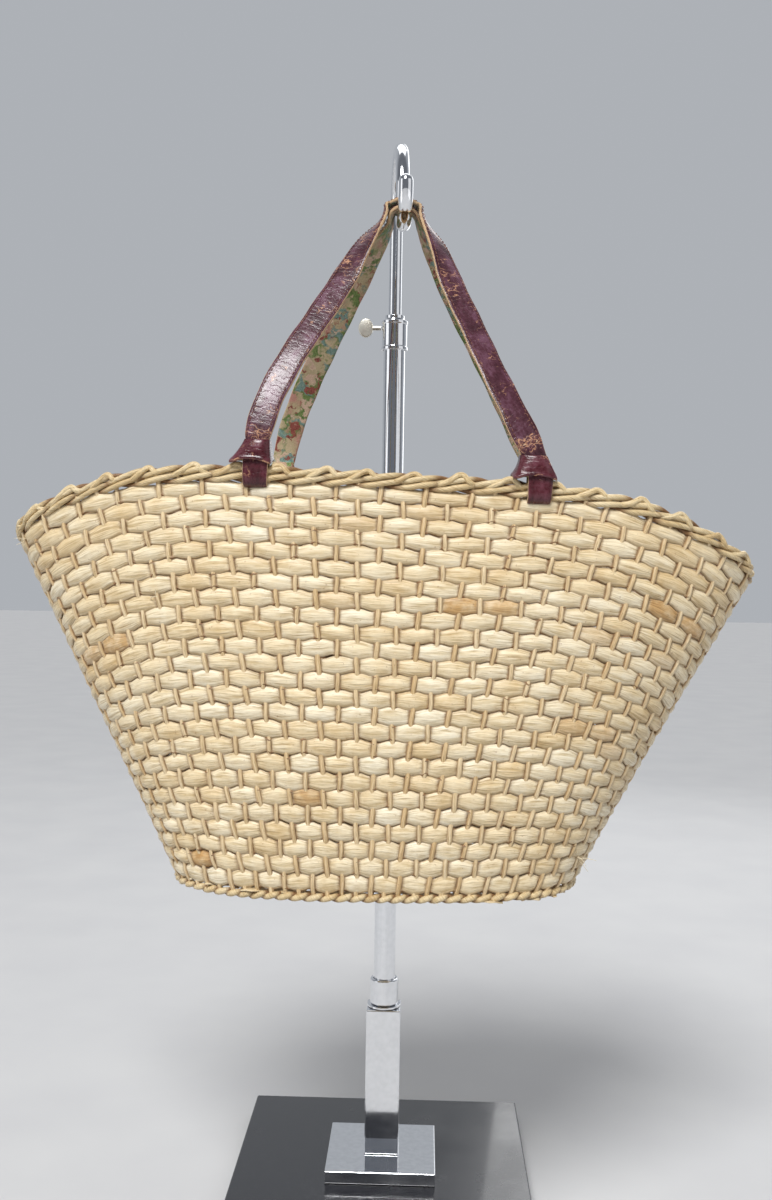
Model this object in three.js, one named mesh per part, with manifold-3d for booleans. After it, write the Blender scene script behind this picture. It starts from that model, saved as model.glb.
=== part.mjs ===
// Straw basket bag hung by its two leather handles on a hooked display stand.
// Millimetres, +Z up. Origin in the middle of the base board's underside, +X to the right of
// the bag's front, +Y to the rear. The bag hangs in front of the upright.

import * as THREE from 'three';
import { mergeVertices } from 'three/addons/utils/BufferGeometryUtils.js';
import Module from 'manifold-3d';

const wasm = await Module();
wasm.setup();

// Clearances
const seatGap = 0.3;
const leatherGap = 0.5;

// Stand: base
const boardSide = 216;
const boardThickness = 15;
const boardEdge = 1;
const plateSide = 80;
const plateThickness = 9;
const plateEdge = 0.6;
const postSide = 25.4;
const postLength = 107.2;
const postEdge = 0.5;
const flangeDiameter = 25;
const flangeThickness = 1.5;

// Stand: upright, its collars and the clamping screw
const tubeDiameter = 15.9;
const tubeLength = 497.6;
const lowerCollarDiameter = 21;
const lowerCollarHeight = 19;
const upperCollarDiameter = 19.6;
const upperCollarHeight = 25.5;
const collarOverlap = 12;
const neckDiameter = 14.4;
const neckHeight = 2.6;
const collarChamfer = 1.6;
const screwStemDiameter = 3.4;
const screwStemLength = 7;
const screwHeadDiameter = 14;
const screwHeadThickness = 3.6;
const screwHeadWidth = 11;
const screwTurn = 25;
const screwDrop = 9;

// Stand: hook
const rodDiameter = 9.5;
const rodRise = 80.5;
const hookRoom = 6.5;
const hookDescent = 6.6;
const tipRise = 1.5;
const hookTurn = 4.4;

// Basket, woven of flat strips over upright stakes
const baseHalfLength = 128;
const baseHalfDepth = 74;
const rimHalfLength = 238;
const rimHalfDepth = 78;
const bellyHalfDepth = 84;
const wallHeight = 250.5;
const wallThickness = 4;
const bottomThickness = 3.5;
const endDrop = 45;
const stakeCount = 80;
const rowPitch = 9.7;
const weaveRelief = 0.7;
const baseBandHeight = 5.3;
const footInset = 6;
const cornerRoundnessBase = 2.8;
const cornerRoundnessRim = 2.6;
const rimSkew = -1;
const baseSkew = 1.6;
const rimShift = -3.5;

// Basket: twined cords of the rim and of the base's edge
const rimCordWidth = 6.2;
const rimCordHeight = 4.1;
const loopHeight = 2.6;
const baseCordWidth = 4.4;
const baseCordHeight = 3.8;

// Handles and the sleeves that bind their folded ends
const strapWidth = 17.5;
const strapThickness = 2.6;
const handleRise = 194;
const leftAttach = 79;
const rightAttach = 91;
const rearLeftAttach = 81;
const rearRightAttach = 109;
const strapStackGap = 2.4;
const sleeveHeight = 12;
const sleeveWall = 1.7;
const sleeveFlare = 5;
const flareLean = 0.5;
const sleeveLift = 13.5;
const strapTuck = 3;

// How the bag hangs
const hangTilt = 1.4;
const hangOffset = -12;
const tubeClearance = 3.5;

const radians = THREE.MathUtils.degToRad;
const lerp = THREE.MathUtils.lerp;

// Heights that follow from the sizes above
const plateTop = boardThickness + seatGap + plateThickness;
const postTop = plateTop + seatGap + postLength;
const flangeTop = postTop + seatGap + flangeThickness;
const tubeBottom = flangeTop + seatGap;
const tubeTop = tubeBottom + tubeLength;
const upperCollarBottom = tubeTop - collarOverlap;
const upperCollarTop = upperCollarBottom + upperCollarHeight;

// Hook line, seen from its side
const rodRadius = rodDiameter / 2;
const cupRadius = strapWidth / 2 + rodRadius + hookRoom;
const hookReach = tubeDiameter / 2 + tubeClearance + bellyHalfDepth + wallThickness / 2 + weaveRelief;
const archRadius = (hookReach - cupRadius) / 2;
const rodBottom = tubeTop + seatGap;
const archCentre = rodBottom + rodRise;
const cupCentre = archCentre - hookDescent;
const cupBottom = cupCentre - cupRadius;
const hookAcross = hookReach * Math.sin(radians(hookTurn));
const hookForward = hookReach * Math.cos(radians(hookTurn));

// Where the two straps cross the hook, the rear one under the front one
const cupInner = cupRadius - rodRadius;
const strapSeat = cupCentre - Math.sqrt(cupInner ** 2 - (strapWidth / 2) ** 2);
const rearCrown = strapSeat + leatherGap + strapThickness / 2;
const strapStack = strapThickness + strapStackGap;
const frontCrown = rearCrown + strapStack;

// Materials
const straw = { color: 0xe2cb97, roughness: 0.55, metalness: 0 };
const leather = { color: 0x5d2a30, roughness: 0.3, metalness: 0 };
const chrome = { color: 0xd8dade, roughness: 0.08, metalness: 1 };
const blackBoard = { color: 0x15161a, roughness: 0.35, metalness: 0 };

const stand = new THREE.Group();
const bag = new THREE.Group();
const assembly = new THREE.Group();
assembly.add(stand, bag);

// Geometry helpers

function weld(geometry) {
  const bare = geometry.index ? geometry.toNonIndexed() : geometry.clone();
  bare.deleteAttribute('normal');
  bare.deleteAttribute('uv');
  const merged = mergeVertices(bare, 1e-4);
  const corners = merged.index.array;
  const kept = [];
  for (let i = 0; i < corners.length; i += 3) {
    const [a, b, c] = [corners[i], corners[i + 1], corners[i + 2]];
    if (a !== b && b !== c && c !== a) {
      kept.push(a, b, c);
    }
  }
  merged.setIndex(kept);
  return merged;
}

function toSolid(geometry) {
  const welded = weld(geometry);
  return new wasm.Manifold(new wasm.Mesh({
    numProp: 3,
    vertProperties: new Float32Array(welded.attributes.position.array),
    triVerts: new Uint32Array(welded.index.array),
  }));
}

function fromSolid(solid) {
  const mesh = solid.getMesh();
  const geometry = new THREE.BufferGeometry();
  geometry.setAttribute('position', new THREE.BufferAttribute(new Float32Array(mesh.vertProperties), 3));
  geometry.setIndex(new THREE.BufferAttribute(new Uint32Array(mesh.triVerts), 1));
  return geometry;
}

function addPiece(group, name, geometry, finish) {
  const welded = weld(geometry);
  welded.computeVertexNormals();
  const mesh = new THREE.Mesh(welded, new THREE.MeshStandardMaterial(finish));
  mesh.name = name;
  group.add(mesh);
  return mesh;
}

// Square plate or bar with its edges eased, standing on z = 0
function easedBlock(side, height, edge) {
  const half = side / 2 - edge;
  const outline = new THREE.Shape();
  outline.moveTo(-half, -half);
  outline.lineTo(half, -half);
  outline.lineTo(half, half);
  outline.lineTo(-half, half);
  outline.closePath();
  const block = new THREE.ExtrudeGeometry(outline, {
    depth: height - 2 * edge,
    bevelEnabled: true,
    bevelThickness: edge,
    bevelSize: edge,
    bevelSegments: 1,
  });
  return block.translate(0, 0, edge);
}

// Turned piece: a closed section of [radius, height] pairs spun about Z
function turned(section, segments) {
  const points = section.map(([radius, height]) => new THREE.Vector2(radius, height));
  return new THREE.LatheGeometry(points, segments).rotateX(Math.PI / 2);
}

// Ring section with both outer edges chamfered and a straight bore
function ringSection(outer, bore, bottom, top, chamfer) {
  return [
    [bore, bottom],
    [outer - chamfer, bottom],
    [outer, bottom + chamfer],
    [outer, top - chamfer],
    [outer - chamfer, top],
    [bore, top],
    [bore, bottom],
  ];
}

// Stand

const tubeSegments = 24;
const collarSegments = 20;

function buildBase() {
  addPiece(stand, 'base_board', easedBlock(boardSide, boardThickness, boardEdge), blackBoard);
  const plate = addPiece(stand, 'foot_plate', easedBlock(plateSide, plateThickness, plateEdge), chrome);
  plate.position.z = boardThickness + seatGap;
  const post = addPiece(stand, 'square_post', easedBlock(postSide, postLength, postEdge), chrome);
  post.position.z = plateTop + seatGap;
  const flangeBottom = postTop + seatGap;
  const flange = turned([
    [0, flangeBottom],
    [flangeDiameter / 2, flangeBottom],
    [flangeDiameter / 2, flangeTop],
    [0, flangeTop],
  ], tubeSegments);
  addPiece(stand, 'post_flange', flange, chrome);
}

function buildUpright() {
  const tube = turned([
    [0, tubeBottom],
    [tubeDiameter / 2, tubeBottom],
    [tubeDiameter / 2, tubeTop],
    [0, tubeTop],
  ], tubeSegments);
  addPiece(stand, 'upright_tube', tube, chrome);

  const tubeBore = tubeDiameter / 2 + seatGap;
  const lowerCollar = turned(ringSection(
    lowerCollarDiameter / 2, tubeBore, tubeBottom, tubeBottom + lowerCollarHeight, collarChamfer / 2,
  ), collarSegments);
  addPiece(stand, 'lower_collar', lowerCollar, chrome);

  const outer = upperCollarDiameter / 2;
  const neck = neckDiameter / 2;
  const rodBore = rodRadius + seatGap;
  const shoulder = upperCollarTop - neckHeight;
  const upperCollar = turned([
    [tubeBore, upperCollarBottom],
    [outer, upperCollarBottom],
    [outer, shoulder - collarChamfer],
    [neck, shoulder],
    [neck, upperCollarTop],
    [rodBore, upperCollarTop],
    [rodBore, tubeTop + seatGap],
    [tubeBore, tubeTop + seatGap],
    [tubeBore, upperCollarBottom],
  ], collarSegments);
  addPiece(stand, 'upper_collar', upperCollar, chrome);
}

// Thumb screw: a short stem on the collar's left side with a flat oval head to grip
function buildThumbScrew() {
  const stem = new THREE.CylinderGeometry(screwStemDiameter / 2, screwStemDiameter / 2, screwStemLength, 10);
  stem.rotateZ(Math.PI / 2);
  const edge = screwHeadThickness / 4;
  const radius = screwHeadDiameter / 2;
  const head = new THREE.LatheGeometry([
    new THREE.Vector2(0, -screwHeadThickness / 2),
    new THREE.Vector2(radius - edge, -screwHeadThickness / 2),
    new THREE.Vector2(radius, -edge),
    new THREE.Vector2(radius, edge),
    new THREE.Vector2(radius - edge, screwHeadThickness / 2),
    new THREE.Vector2(0, screwHeadThickness / 2),
  ], 20);
  head.scale(screwHeadWidth / screwHeadDiameter, 1, 1);
  head.rotateZ(radians(screwTurn));
  const headReach = screwStemLength / 2 + screwHeadWidth / 2 - edge;
  head.translate(-headReach, 0, 0);
  const screw = fromSolid(toSolid(stem).add(toSolid(head)));
  const piece = addPiece(stand, 'thumb_screw', screw, chrome);
  const stemMiddle = upperCollarDiameter / 2 + seatGap + screwStemLength / 2;
  piece.position.set(-stemMiddle, 0, upperCollarTop - screwDrop);
}

// Hook: up the rod, over the arch, down and round the cup to a short upturned tip
class HookLine extends THREE.Curve {
  constructor() {
    super();
    this.side = new THREE.Path();
    this.side.moveTo(0, rodBottom);
    this.side.lineTo(0, archCentre);
    this.side.absarc(archRadius, archCentre, archRadius, Math.PI, 0, true);
    this.side.lineTo(2 * archRadius, cupCentre);
    this.side.absarc(hookReach, cupCentre, cupRadius, Math.PI, 2 * Math.PI, false);
    this.side.lineTo(hookReach + cupRadius, cupCentre + tipRise);
  }

  getPoint(share, target = new THREE.Vector3()) {
    const place = this.side.getPointAt(share);
    return target.set(0, -place.x, place.y);
  }
}

function buildHook() {
  const section = new THREE.Shape();
  section.absarc(0, 0, rodRadius, 0, 2 * Math.PI, false);
  const rod = new THREE.ExtrudeGeometry(section, {
    steps: 39,
    curveSegments: 5,
    extrudePath: new HookLine(),
  });
  const tip = new THREE.SphereGeometry(rodRadius, 10, 6);
  tip.rotateX(Math.PI / 2);
  tip.translate(0, -(hookReach + cupRadius), cupCentre + tipRise);
  const hook = addPiece(stand, 'hook_rod', fromSolid(toSolid(rod).add(toSolid(tip))), chrome);
  hook.rotation.z = radians(hookTurn);
}

// Basket outline. level is 0 at the base and 1 at the top of the wall, share is the way round,
// 0 at the right end, a quarter at the middle of the rear and three quarters at the front.

const dropBend = 1.65;
const dropCurve = 5;
const quarterSteps = 60;

function endShare(share) {
  return Math.abs(((share * 4) % 2) - 1);
}

// Fall of the edge towards an end of the basket, level in the middle and again at the end
function endFall(share) {
  const nearness = endShare(share);
  return nearness ** dropCurve * (1 + (dropCurve / 2) * (1 - nearness ** 2));
}

function dropAt(level, share) {
  const bandLevel = baseBandHeight / wallHeight;
  const aboveBand = THREE.MathUtils.clamp((level - bandLevel) / (1 - bandLevel), 0, 1);
  const falloff = 1 - (1 - aboveBand) ** dropBend;
  return endDrop * falloff * endFall(share);
}

function planAt(level) {
  const endHeight = level * wallHeight - dropAt(level, 0);
  const rimEndHeight = wallHeight - endDrop;
  const belly = 4 * level * (1 - Math.min(1, level));
  const straightDepth = lerp(baseHalfDepth, rimHalfDepth, level);
  const bellySwell = bellyHalfDepth - (baseHalfDepth + rimHalfDepth) / 2;
  return {
    halfLength: lerp(baseHalfLength, rimHalfLength, endHeight / rimEndHeight),
    halfDepth: straightDepth + belly * bellySwell,
    roundness: lerp(cornerRoundnessBase, cornerRoundnessRim, level),
    skew: Math.tan(radians(lerp(baseSkew, rimSkew, level))),
  };
}

// Quarter of the plan outline with its running length, kept per level
const quarterCache = new Map();

function quarterAt(level) {
  if (!quarterCache.has(level)) {
    const { halfLength, halfDepth, roundness } = planAt(level);
    const quarter = [];
    let run = 0;
    for (let i = 0; i <= quarterSteps; i += 1) {
      const turn = (i / quarterSteps) * (Math.PI / 2);
      const x = halfLength * Math.cos(turn) ** (2 / roundness);
      const y = halfDepth * Math.sin(turn) ** (2 / roundness);
      if (i > 0) {
        run += Math.hypot(x - quarter[i - 1].x, y - quarter[i - 1].y);
      }
      quarter.push({ x, y, run });
    }
    quarterCache.set(level, quarter);
  }
  return quarterCache.get(level);
}

// Point of the wall's middle line in plan. The mouth lies a little to one side of the base.
function planPoint(level, share) {
  const quarter = quarterAt(level);
  const total = quarter[quarterSteps].run;
  const run = (1 - endShare(share)) * total;
  let i = 1;
  while (i < quarterSteps && quarter[i].run < run) {
    i += 1;
  }
  const step = quarter[i].run - quarter[i - 1].run;
  const along = (run - quarter[i - 1].run) / step;
  const x = lerp(quarter[i - 1].x, quarter[i].x, along);
  const y = lerp(quarter[i - 1].y, quarter[i].y, along);
  const round = ((share % 1) + 1) % 1;
  const left = round > 0.25 && round < 0.75;
  const front = round > 0.5;
  return new THREE.Vector2((left ? -x : x) + rimShift * level, front ? -y : y);
}

const shareStep = 1 / (stakeCount * 4);

function planOutward(level, share) {
  const ahead = planPoint(level, share + shareStep);
  const behind = planPoint(level, share - shareStep + 1);
  return new THREE.Vector2(ahead.y - behind.y, behind.x - ahead.x).normalize();
}

// Point of the basket: proud is the distance outward from the wall's middle, lift is upward
function basketPoint(level, share, proud = 0, lift = 0) {
  const plan = planPoint(level, share).addScaledVector(planOutward(level, share), proud);
  const height = level * wallHeight - dropAt(level, share) + planAt(level).skew * plan.x;
  return new THREE.Vector3(plan.x, plan.y, height + lift);
}

// Share of the way round at which the rim passes a given x, on the front half
function frontShareAtX(x) {
  let [low, high] = [0.5, 1];
  for (let i = 0; i < 40; i += 1) {
    const middle = (low + high) / 2;
    if (planPoint(1, middle).x < x) {
      low = middle;
    } else {
      high = middle;
    }
  }
  return (low + high) / 2;
}

// Shares of the floor's reach, and levels down the inside of the wall
const floorReaches = [0, 0.5];
const insideLevels = [1, 0.68, 0.36];

// Stations of the basket's wall, from the middle of the underside up the outside, over the top
// edge, down the inside and in to the middle of the floor
function wallStations() {
  const half = wallThickness / 2;
  const stations = [];
  for (const reach of floorReaches) {
    stations.push({ level: 0, reach, proud: 0, lift: 0, relief: 0 });
  }
  stations.push({ level: 0, reach: 1, proud: -footInset, lift: 0, relief: 0 });
  const bandLevel = baseBandHeight / wallHeight;
  stations.push({ level: bandLevel, reach: 1, proud: half, lift: 0, relief: 0 });
  const rows = Math.round((wallHeight - baseBandHeight) / rowPitch);
  const fittedPitch = (wallHeight - baseBandHeight) / rows;
  for (let row = 0; row < rows; row += 1) {
    const level = (baseBandHeight + (row + 0.5) * fittedPitch) / wallHeight;
    stations.push({ level, reach: 1, proud: half, lift: 0, relief: row % 2 ? 1 : -1 });
  }
  stations.push({ level: 1, reach: 1, proud: half, lift: 0, relief: 0 });
  for (const level of insideLevels) {
    stations.push({ level, reach: 1, proud: -half, lift: 0, relief: 0 });
  }
  stations.push({ level: 0, reach: 1, proud: -half - footInset / 2, lift: bottomThickness, relief: 0 });
  for (const reach of [...floorReaches].reverse()) {
    stations.push({ level: 0, reach, proud: 0, lift: bottomThickness, relief: 0 });
  }
  return stations;
}

function basketShell() {
  const stations = wallStations();
  const profile = stations.map((station, i) => new THREE.Vector2(station.reach, i));
  const shell = new THREE.LatheGeometry(profile, stakeCount);
  const place = shell.attributes.position;
  for (let stake = 0; stake <= stakeCount; stake += 1) {
    const share = (stake % stakeCount) / stakeCount;
    const sign = stake % 2 ? -1 : 1;
    stations.forEach((station, i) => {
      const proud = station.proud + weaveRelief * station.relief * sign;
      const point = basketPoint(station.level, share, proud, station.lift);
      point.z -= (1 - station.reach) * planAt(0).skew * point.x;
      place.setXYZ(stake * stations.length + i, point.x * station.reach, point.y * station.reach, point.z);
    });
  }
  return shell;
}

// Cord laid along the basket: a torus whose rings are carried onto the outline
function edgeCord({ level, proud, lift, width, height, sides, crest }) {
  const cord = new THREE.TorusGeometry(2, 1, sides, stakeCount);
  const place = cord.attributes.position;
  for (let side = 0; side <= sides; side += 1) {
    const turn = ((side % sides) / sides) * 2 * Math.PI + Math.PI / 2;
    for (let stake = 0; stake <= stakeCount; stake += 1) {
      const share = (stake % stakeCount) / stakeCount;
      const loop = stake % 2 ? 0 : crest * Math.max(0, Math.sin(turn)) ** 2;
      const point = basketPoint(
        level, share, proud + (width / 2) * Math.cos(turn), lift + (height / 2) * Math.sin(turn) + loop,
      );
      place.setXYZ(side * (stakeCount + 1) + stake, point.x, point.y, point.z);
    }
  }
  return cord;
}

const lowerCordMiddle = seatGap + rimCordHeight / 2;
const upperCordMiddle = lowerCordMiddle + rimCordHeight + seatGap;

function buildRim() {
  const lower = edgeCord({
    level: 1, proud: 0, lift: lowerCordMiddle, width: rimCordWidth, height: rimCordHeight, sides: 5, crest: 0,
  });
  const upper = edgeCord({
    level: 1, proud: 0, lift: upperCordMiddle, width: rimCordWidth, height: rimCordHeight, sides: 5,
    crest: loopHeight,
  });
  addPiece(bag, 'rim_cord_lower', lower, straw);
  addPiece(bag, 'rim_cord_upper', upper, straw);
}

function buildBaseCord() {
  const cord = edgeCord({
    level: 0,
    proud: wallThickness / 2 - baseCordWidth / 4,
    lift: baseCordHeight / 2 - baseBandHeight / 4,
    width: baseCordWidth,
    height: baseCordHeight,
    sides: 4,
    crest: 0,
  });
  addPiece(bag, 'base_cord', cord, straw);
}

// Handle ends. Each strap goes down outside the rim cords, in through a slot in the wall under
// them and up again inside, and a sleeve binds the two thicknesses above the rim.
const foldRadius = rimCordWidth / 2 + leatherGap + strapThickness / 2;
const foldCentre = rimCordHeight / 2;
const slotDepth = foldRadius + strapThickness / 2 - foldCentre + seatGap;
const legGap = strapThickness + leatherGap;

// lean is the sideways slope of the strap as it leaves the rim
const attachments = [
  { name: 'left', front: -leftAttach, rear: -rearLeftAttach, lean: 0.04 },
  { name: 'right', front: rightAttach, rear: rearRightAttach, lean: -0.36 },
];

function attachFrame(attachment, face) {
  const frontShare = frontShareAtX(attachment[face]);
  const share = face === 'front' ? frontShare : 1 - frontShare;
  const foot = basketPoint(1, share);
  const outward2 = planOutward(1, share);
  const outward = new THREE.Vector3(outward2.x, outward2.y, 0);
  const along = new THREE.Vector3(1, 0, 0);
  along.addScaledVector(outward, -outward.x).normalize();
  return { foot, outward, along, lean: attachment.lean };
}

// Point above or below the wall's top edge at a handle: out across the wall, side along it, up
function attachPoint(frame, out, side, up) {
  const leaning = frame.lean * Math.max(0, up - sleeveLift);
  return frame.foot.clone()
    .addScaledVector(frame.outward, out)
    .addScaledVector(frame.along, side + leaning)
    .add(new THREE.Vector3(0, 0, up));
}

// Distance across the wall of the strap's outer thickness at the sleeve's foot and head
const footShare = 0.62;
const headShare = 0.4;
const sleeveFootOut = foldRadius * footShare;
const sleeveHeadOut = foldRadius * headShare;
const sleeveHead = sleeveLift + sleeveHeight;

// One leg of a folded end above its fold: out is the distance across the wall, inner legs go up
// on the other side of it, and both draw together inside the sleeve.
function foldLeg(side) {
  const step = side > 0 ? 0 : legGap;
  return [
    { out: side * foldRadius, up: foldCentre + strapTuck },
    { out: side * foldRadius, up: sleeveLift - seatGap },
    { out: sleeveFootOut - step, up: sleeveLift + sleeveHeight / 3 },
    { out: sleeveHeadOut - step, up: sleeveHead - strapTuck },
  ];
}

// Folded end of a strap from the tip hidden in the sleeve, round the fold, to the sleeve's head
function foldedEnd(frame) {
  const foldSteps = 5;
  const fold = [];
  for (let i = 0; i <= foldSteps; i += 1) {
    const turn = Math.PI * (1 + i / foldSteps);
    fold.push({ out: foldRadius * Math.cos(turn), up: foldCentre + foldRadius * Math.sin(turn) });
  }
  const leaving = { out: sleeveHeadOut, up: sleeveHead + strapTuck };
  const places = [...foldLeg(-1).reverse(), ...fold, ...foldLeg(1), leaving];
  return places.map(({ out, up }) => ({
    point: attachPoint(frame, out, 0, up),
    width: frame.along.clone(),
  }));
}

// Strap legs from the sleeve to the hook, as shares of the way: rise up, across to the hook,
// back in depth to the hook, twist of the width from across to fore and aft, and how far the
// rear strap lies inside the front one.
const legRows = {
  front: {
    left: [
      { rise: 0.13, across: 0.065, depth: 0.06, twist: 0, inside: 0 },
      { rise: 0.3, across: 0.21, depth: 0.2, twist: 0, inside: 0 },
      { rise: 0.47, across: 0.385, depth: 0.4, twist: 0, inside: 0.1 },
      { rise: 0.64, across: 0.555, depth: 0.61, twist: 0.06, inside: 0.5 },
      { rise: 0.81, across: 0.7, depth: 0.81, twist: 0.45, inside: 1 },
      { rise: 0.925, across: 0.835, depth: 0.95, twist: 0.9, inside: 1 },
    ],
    right: [
      { rise: 0.13, across: 0.13, depth: 0.06, twist: 0.14, inside: 0 },
      { rise: 0.3, across: 0.3, depth: 0.2, twist: 0.18, inside: 0 },
      { rise: 0.47, across: 0.45, depth: 0.4, twist: 0.2, inside: 0.1 },
      { rise: 0.64, across: 0.6, depth: 0.61, twist: 0.24, inside: 0.5 },
      { rise: 0.81, across: 0.72, depth: 0.81, twist: 0.55, inside: 1 },
      { rise: 0.925, across: 0.84, depth: 0.95, twist: 0.92, inside: 1 },
    ],
  },
  rear: {
    left: [
      { rise: 0.13, across: 0.06, depth: 0.06, twist: 0, inside: 0 },
      { rise: 0.3, across: 0.195, depth: 0.2, twist: 0, inside: 0 },
      { rise: 0.47, across: 0.36, depth: 0.4, twist: 0.02, inside: 0.1 },
      { rise: 0.64, across: 0.52, depth: 0.61, twist: 0.12, inside: 0.5 },
      { rise: 0.81, across: 0.69, depth: 0.81, twist: 0.55, inside: 1 },
      { rise: 0.925, across: 0.835, depth: 0.95, twist: 0.92, inside: 1 },
    ],
    right: [
      { rise: 0.13, across: 0.12, depth: 0.06, twist: 0.1, inside: 0 },
      { rise: 0.3, across: 0.275, depth: 0.2, twist: 0.14, inside: 0 },
      { rise: 0.47, across: 0.44, depth: 0.4, twist: 0.18, inside: 0.1 },
      { rise: 0.64, across: 0.595, depth: 0.61, twist: 0.24, inside: 0.5 },
      { rise: 0.81, across: 0.735, depth: 0.81, twist: 0.55, inside: 1 },
      { rise: 0.925, across: 0.85, depth: 0.95, twist: 0.92, inside: 1 },
    ],
  },
};

function legPoints(rows, start, crown, forward, stackDepth) {
  const places = rows.map((row) => new THREE.Vector3(
    lerp(start.x, crown.x, row.across),
    lerp(start.y, crown.y, row.depth),
    lerp(start.z, crown.z + stackDepth, row.rise),
  ));
  return rows.map((row, i) => {
    const before = i === 0 ? start : places[i - 1];
    const after = i === rows.length - 1 ? crown : places[i + 1];
    const inward = new THREE.Vector3(after.z - before.z, 0, before.x - after.x).normalize();
    inward.multiplyScalar(Math.sign(inward.x * (crown.x - start.x)) * stackDepth * row.inside);
    const turn = row.twist * (Math.PI / 2);
    return {
      point: places[i].add(inward),
      width: new THREE.Vector3(Math.cos(turn), forward * Math.sin(turn), 0),
    };
  });
}

// Knots that carry a strap round the hook in an arc about its rod
const crownWrap = 48;

function crownKnots(crown, forward, bendRadius) {
  const wrap = radians(crownWrap);
  return [-wrap, 0, wrap].map((turn) => ({
    point: new THREE.Vector3(
      crown.x + bendRadius * Math.sin(turn),
      crown.y,
      crown.z - bendRadius * (1 - Math.cos(turn)),
    ),
    width: new THREE.Vector3(0, forward, 0),
  }));
}

// Strap body: a box whose cross-sections are carried along the knots' smooth line
function sweepStrap(knots, steps) {
  const line = new THREE.CatmullRomCurve3(knots.map((knot) => knot.point), false, 'centripetal');
  const widths = new THREE.CatmullRomCurve3(knots.map((knot) => knot.width), false, 'catmullrom');
  const box = new THREE.BoxGeometry(1, 1, 1, 1, 1, steps);
  const place = box.attributes.position;
  const frames = [];
  for (let i = 0; i <= steps; i += 1) {
    const share = i / steps;
    const ahead = line.getPoint(Math.min(1, share + 0.25 / steps));
    const behind = line.getPoint(Math.max(0, share - 0.25 / steps));
    const tangent = ahead.sub(behind).normalize();
    const width = widths.getPoint(share);
    width.addScaledVector(tangent, -width.dot(tangent)).normalize();
    const normal = tangent.clone().cross(width);
    frames.push({ point: line.getPoint(share), width, normal });
  }
  for (let i = 0; i < place.count; i += 1) {
    const frame = frames[Math.round((place.getZ(i) + 0.5) * steps)];
    const corner = frame.point.clone()
      .addScaledVector(frame.width, place.getX(i) * strapWidth)
      .addScaledVector(frame.normal, place.getY(i) * strapThickness);
    place.setXYZ(i, corner.x, corner.y, corner.z);
  }
  return box;
}

function buildHandle(face) {
  const forward = face === 'front' ? -1 : 1;
  const crownHeight = face === 'front' ? frontCrown : rearCrown;
  const crown = bag.worldToLocal(new THREE.Vector3(hookAcross, -hookForward, crownHeight));
  const stackDepth = frontCrown - crownHeight;
  const ends = attachments.map((attachment) => foldedEnd(attachFrame(attachment, face)));
  const starts = ends.map((end) => end[end.length - 1].point);
  const leftLeg = legPoints(legRows[face].left, starts[0], crown, forward, stackDepth);
  const rightLeg = legPoints(legRows[face].right, starts[1], crown, -forward, stackDepth);
  const turnedBack = [...rightLeg].reverse().map((knot) => ({
    point: knot.point,
    width: knot.width.clone().negate(),
  }));
  const rightEnd = [...ends[1]].reverse().map((knot) => ({
    point: knot.point,
    width: knot.width.clone().negate(),
  }));
  const wrapped = crownKnots(crown, forward, crownHeight - cupBottom);
  const knots = [...ends[0], ...leftLeg, ...wrapped, ...turnedBack, ...rightEnd];
  addPiece(bag, `handle_${face}`, sweepStrap(knots, 2 * (knots.length - 1)), leather);
}

const sleeveSquareness = 1 / 5;

// Sleeve rings from the foot of the bore down round the rolled edge, up the outside and back
// down the bore. height is a share of the sleeve's height; foot is how much of the room is the
// folded foot's and not the narrow head's; wall counts walls; flare is a share of the flare.
const sleeveRows = [
  { height: 0, foot: 1, wall: 0, flare: 0 },
  { height: -0.06, foot: 1, wall: 1, flare: 0.92 },
  { height: 0.09, foot: 1, wall: 1.4, flare: 1 },
  { height: 0.27, foot: 0.9, wall: 0.9, flare: 0.7 },
  { height: 1, foot: 0, wall: 0.9, flare: 0.3 },
  { height: 1, foot: 0, wall: 0, flare: 0 },
  { height: 0.4, foot: 0.75, wall: 0, flare: 0 },
  { height: 0, foot: 1, wall: 0, flare: 0 },
];

// Sleeve round the two thicknesses, with a rolled lower edge. Its foot flares most to the left.
function sleeveShape(frame) {
  const headDepth = strapThickness + legGap / 2 + leatherGap;
  const footDepth = foldRadius + strapThickness / 2 + leatherGap;
  const inner = (strapWidth / 2 + 2 * leatherGap) * Math.hypot(1, frame.lean);
  const headMiddle = sleeveHeadOut - legGap / 2;
  const section = sleeveRows.map((row) => ({
    up: sleeveLift + row.height * sleeveHeight,
    depth: lerp(headDepth, footDepth, row.foot) + row.wall * sleeveWall,
    width: inner + row.flare * sleeveFlare,
    aside: -flareLean * row.flare * sleeveFlare,
    middle: headMiddle * (1 - row.foot),
  }));
  const segments = 16;
  const profile = section.map((ring, i) => new THREE.Vector2(1, i));
  const sleeve = new THREE.LatheGeometry(profile, segments);
  const place = sleeve.attributes.position;
  const hand = Math.sign(frame.outward.y);
  for (let i = 0; i <= segments; i += 1) {
    const turn = hand * ((i % segments) / segments) * 2 * Math.PI;
    const across = Math.sign(Math.cos(turn)) * Math.abs(Math.cos(turn)) ** sleeveSquareness;
    const deep = Math.sign(Math.sin(turn)) * Math.abs(Math.sin(turn)) ** sleeveSquareness;
    section.forEach((ring, j) => {
      const side = across * ring.width + ring.aside;
      const point = attachPoint(frame, ring.middle + deep * ring.depth, side, ring.up);
      place.setXYZ(i * section.length + j, point.x, point.y, point.z);
    });
  }
  return sleeve;
}

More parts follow.
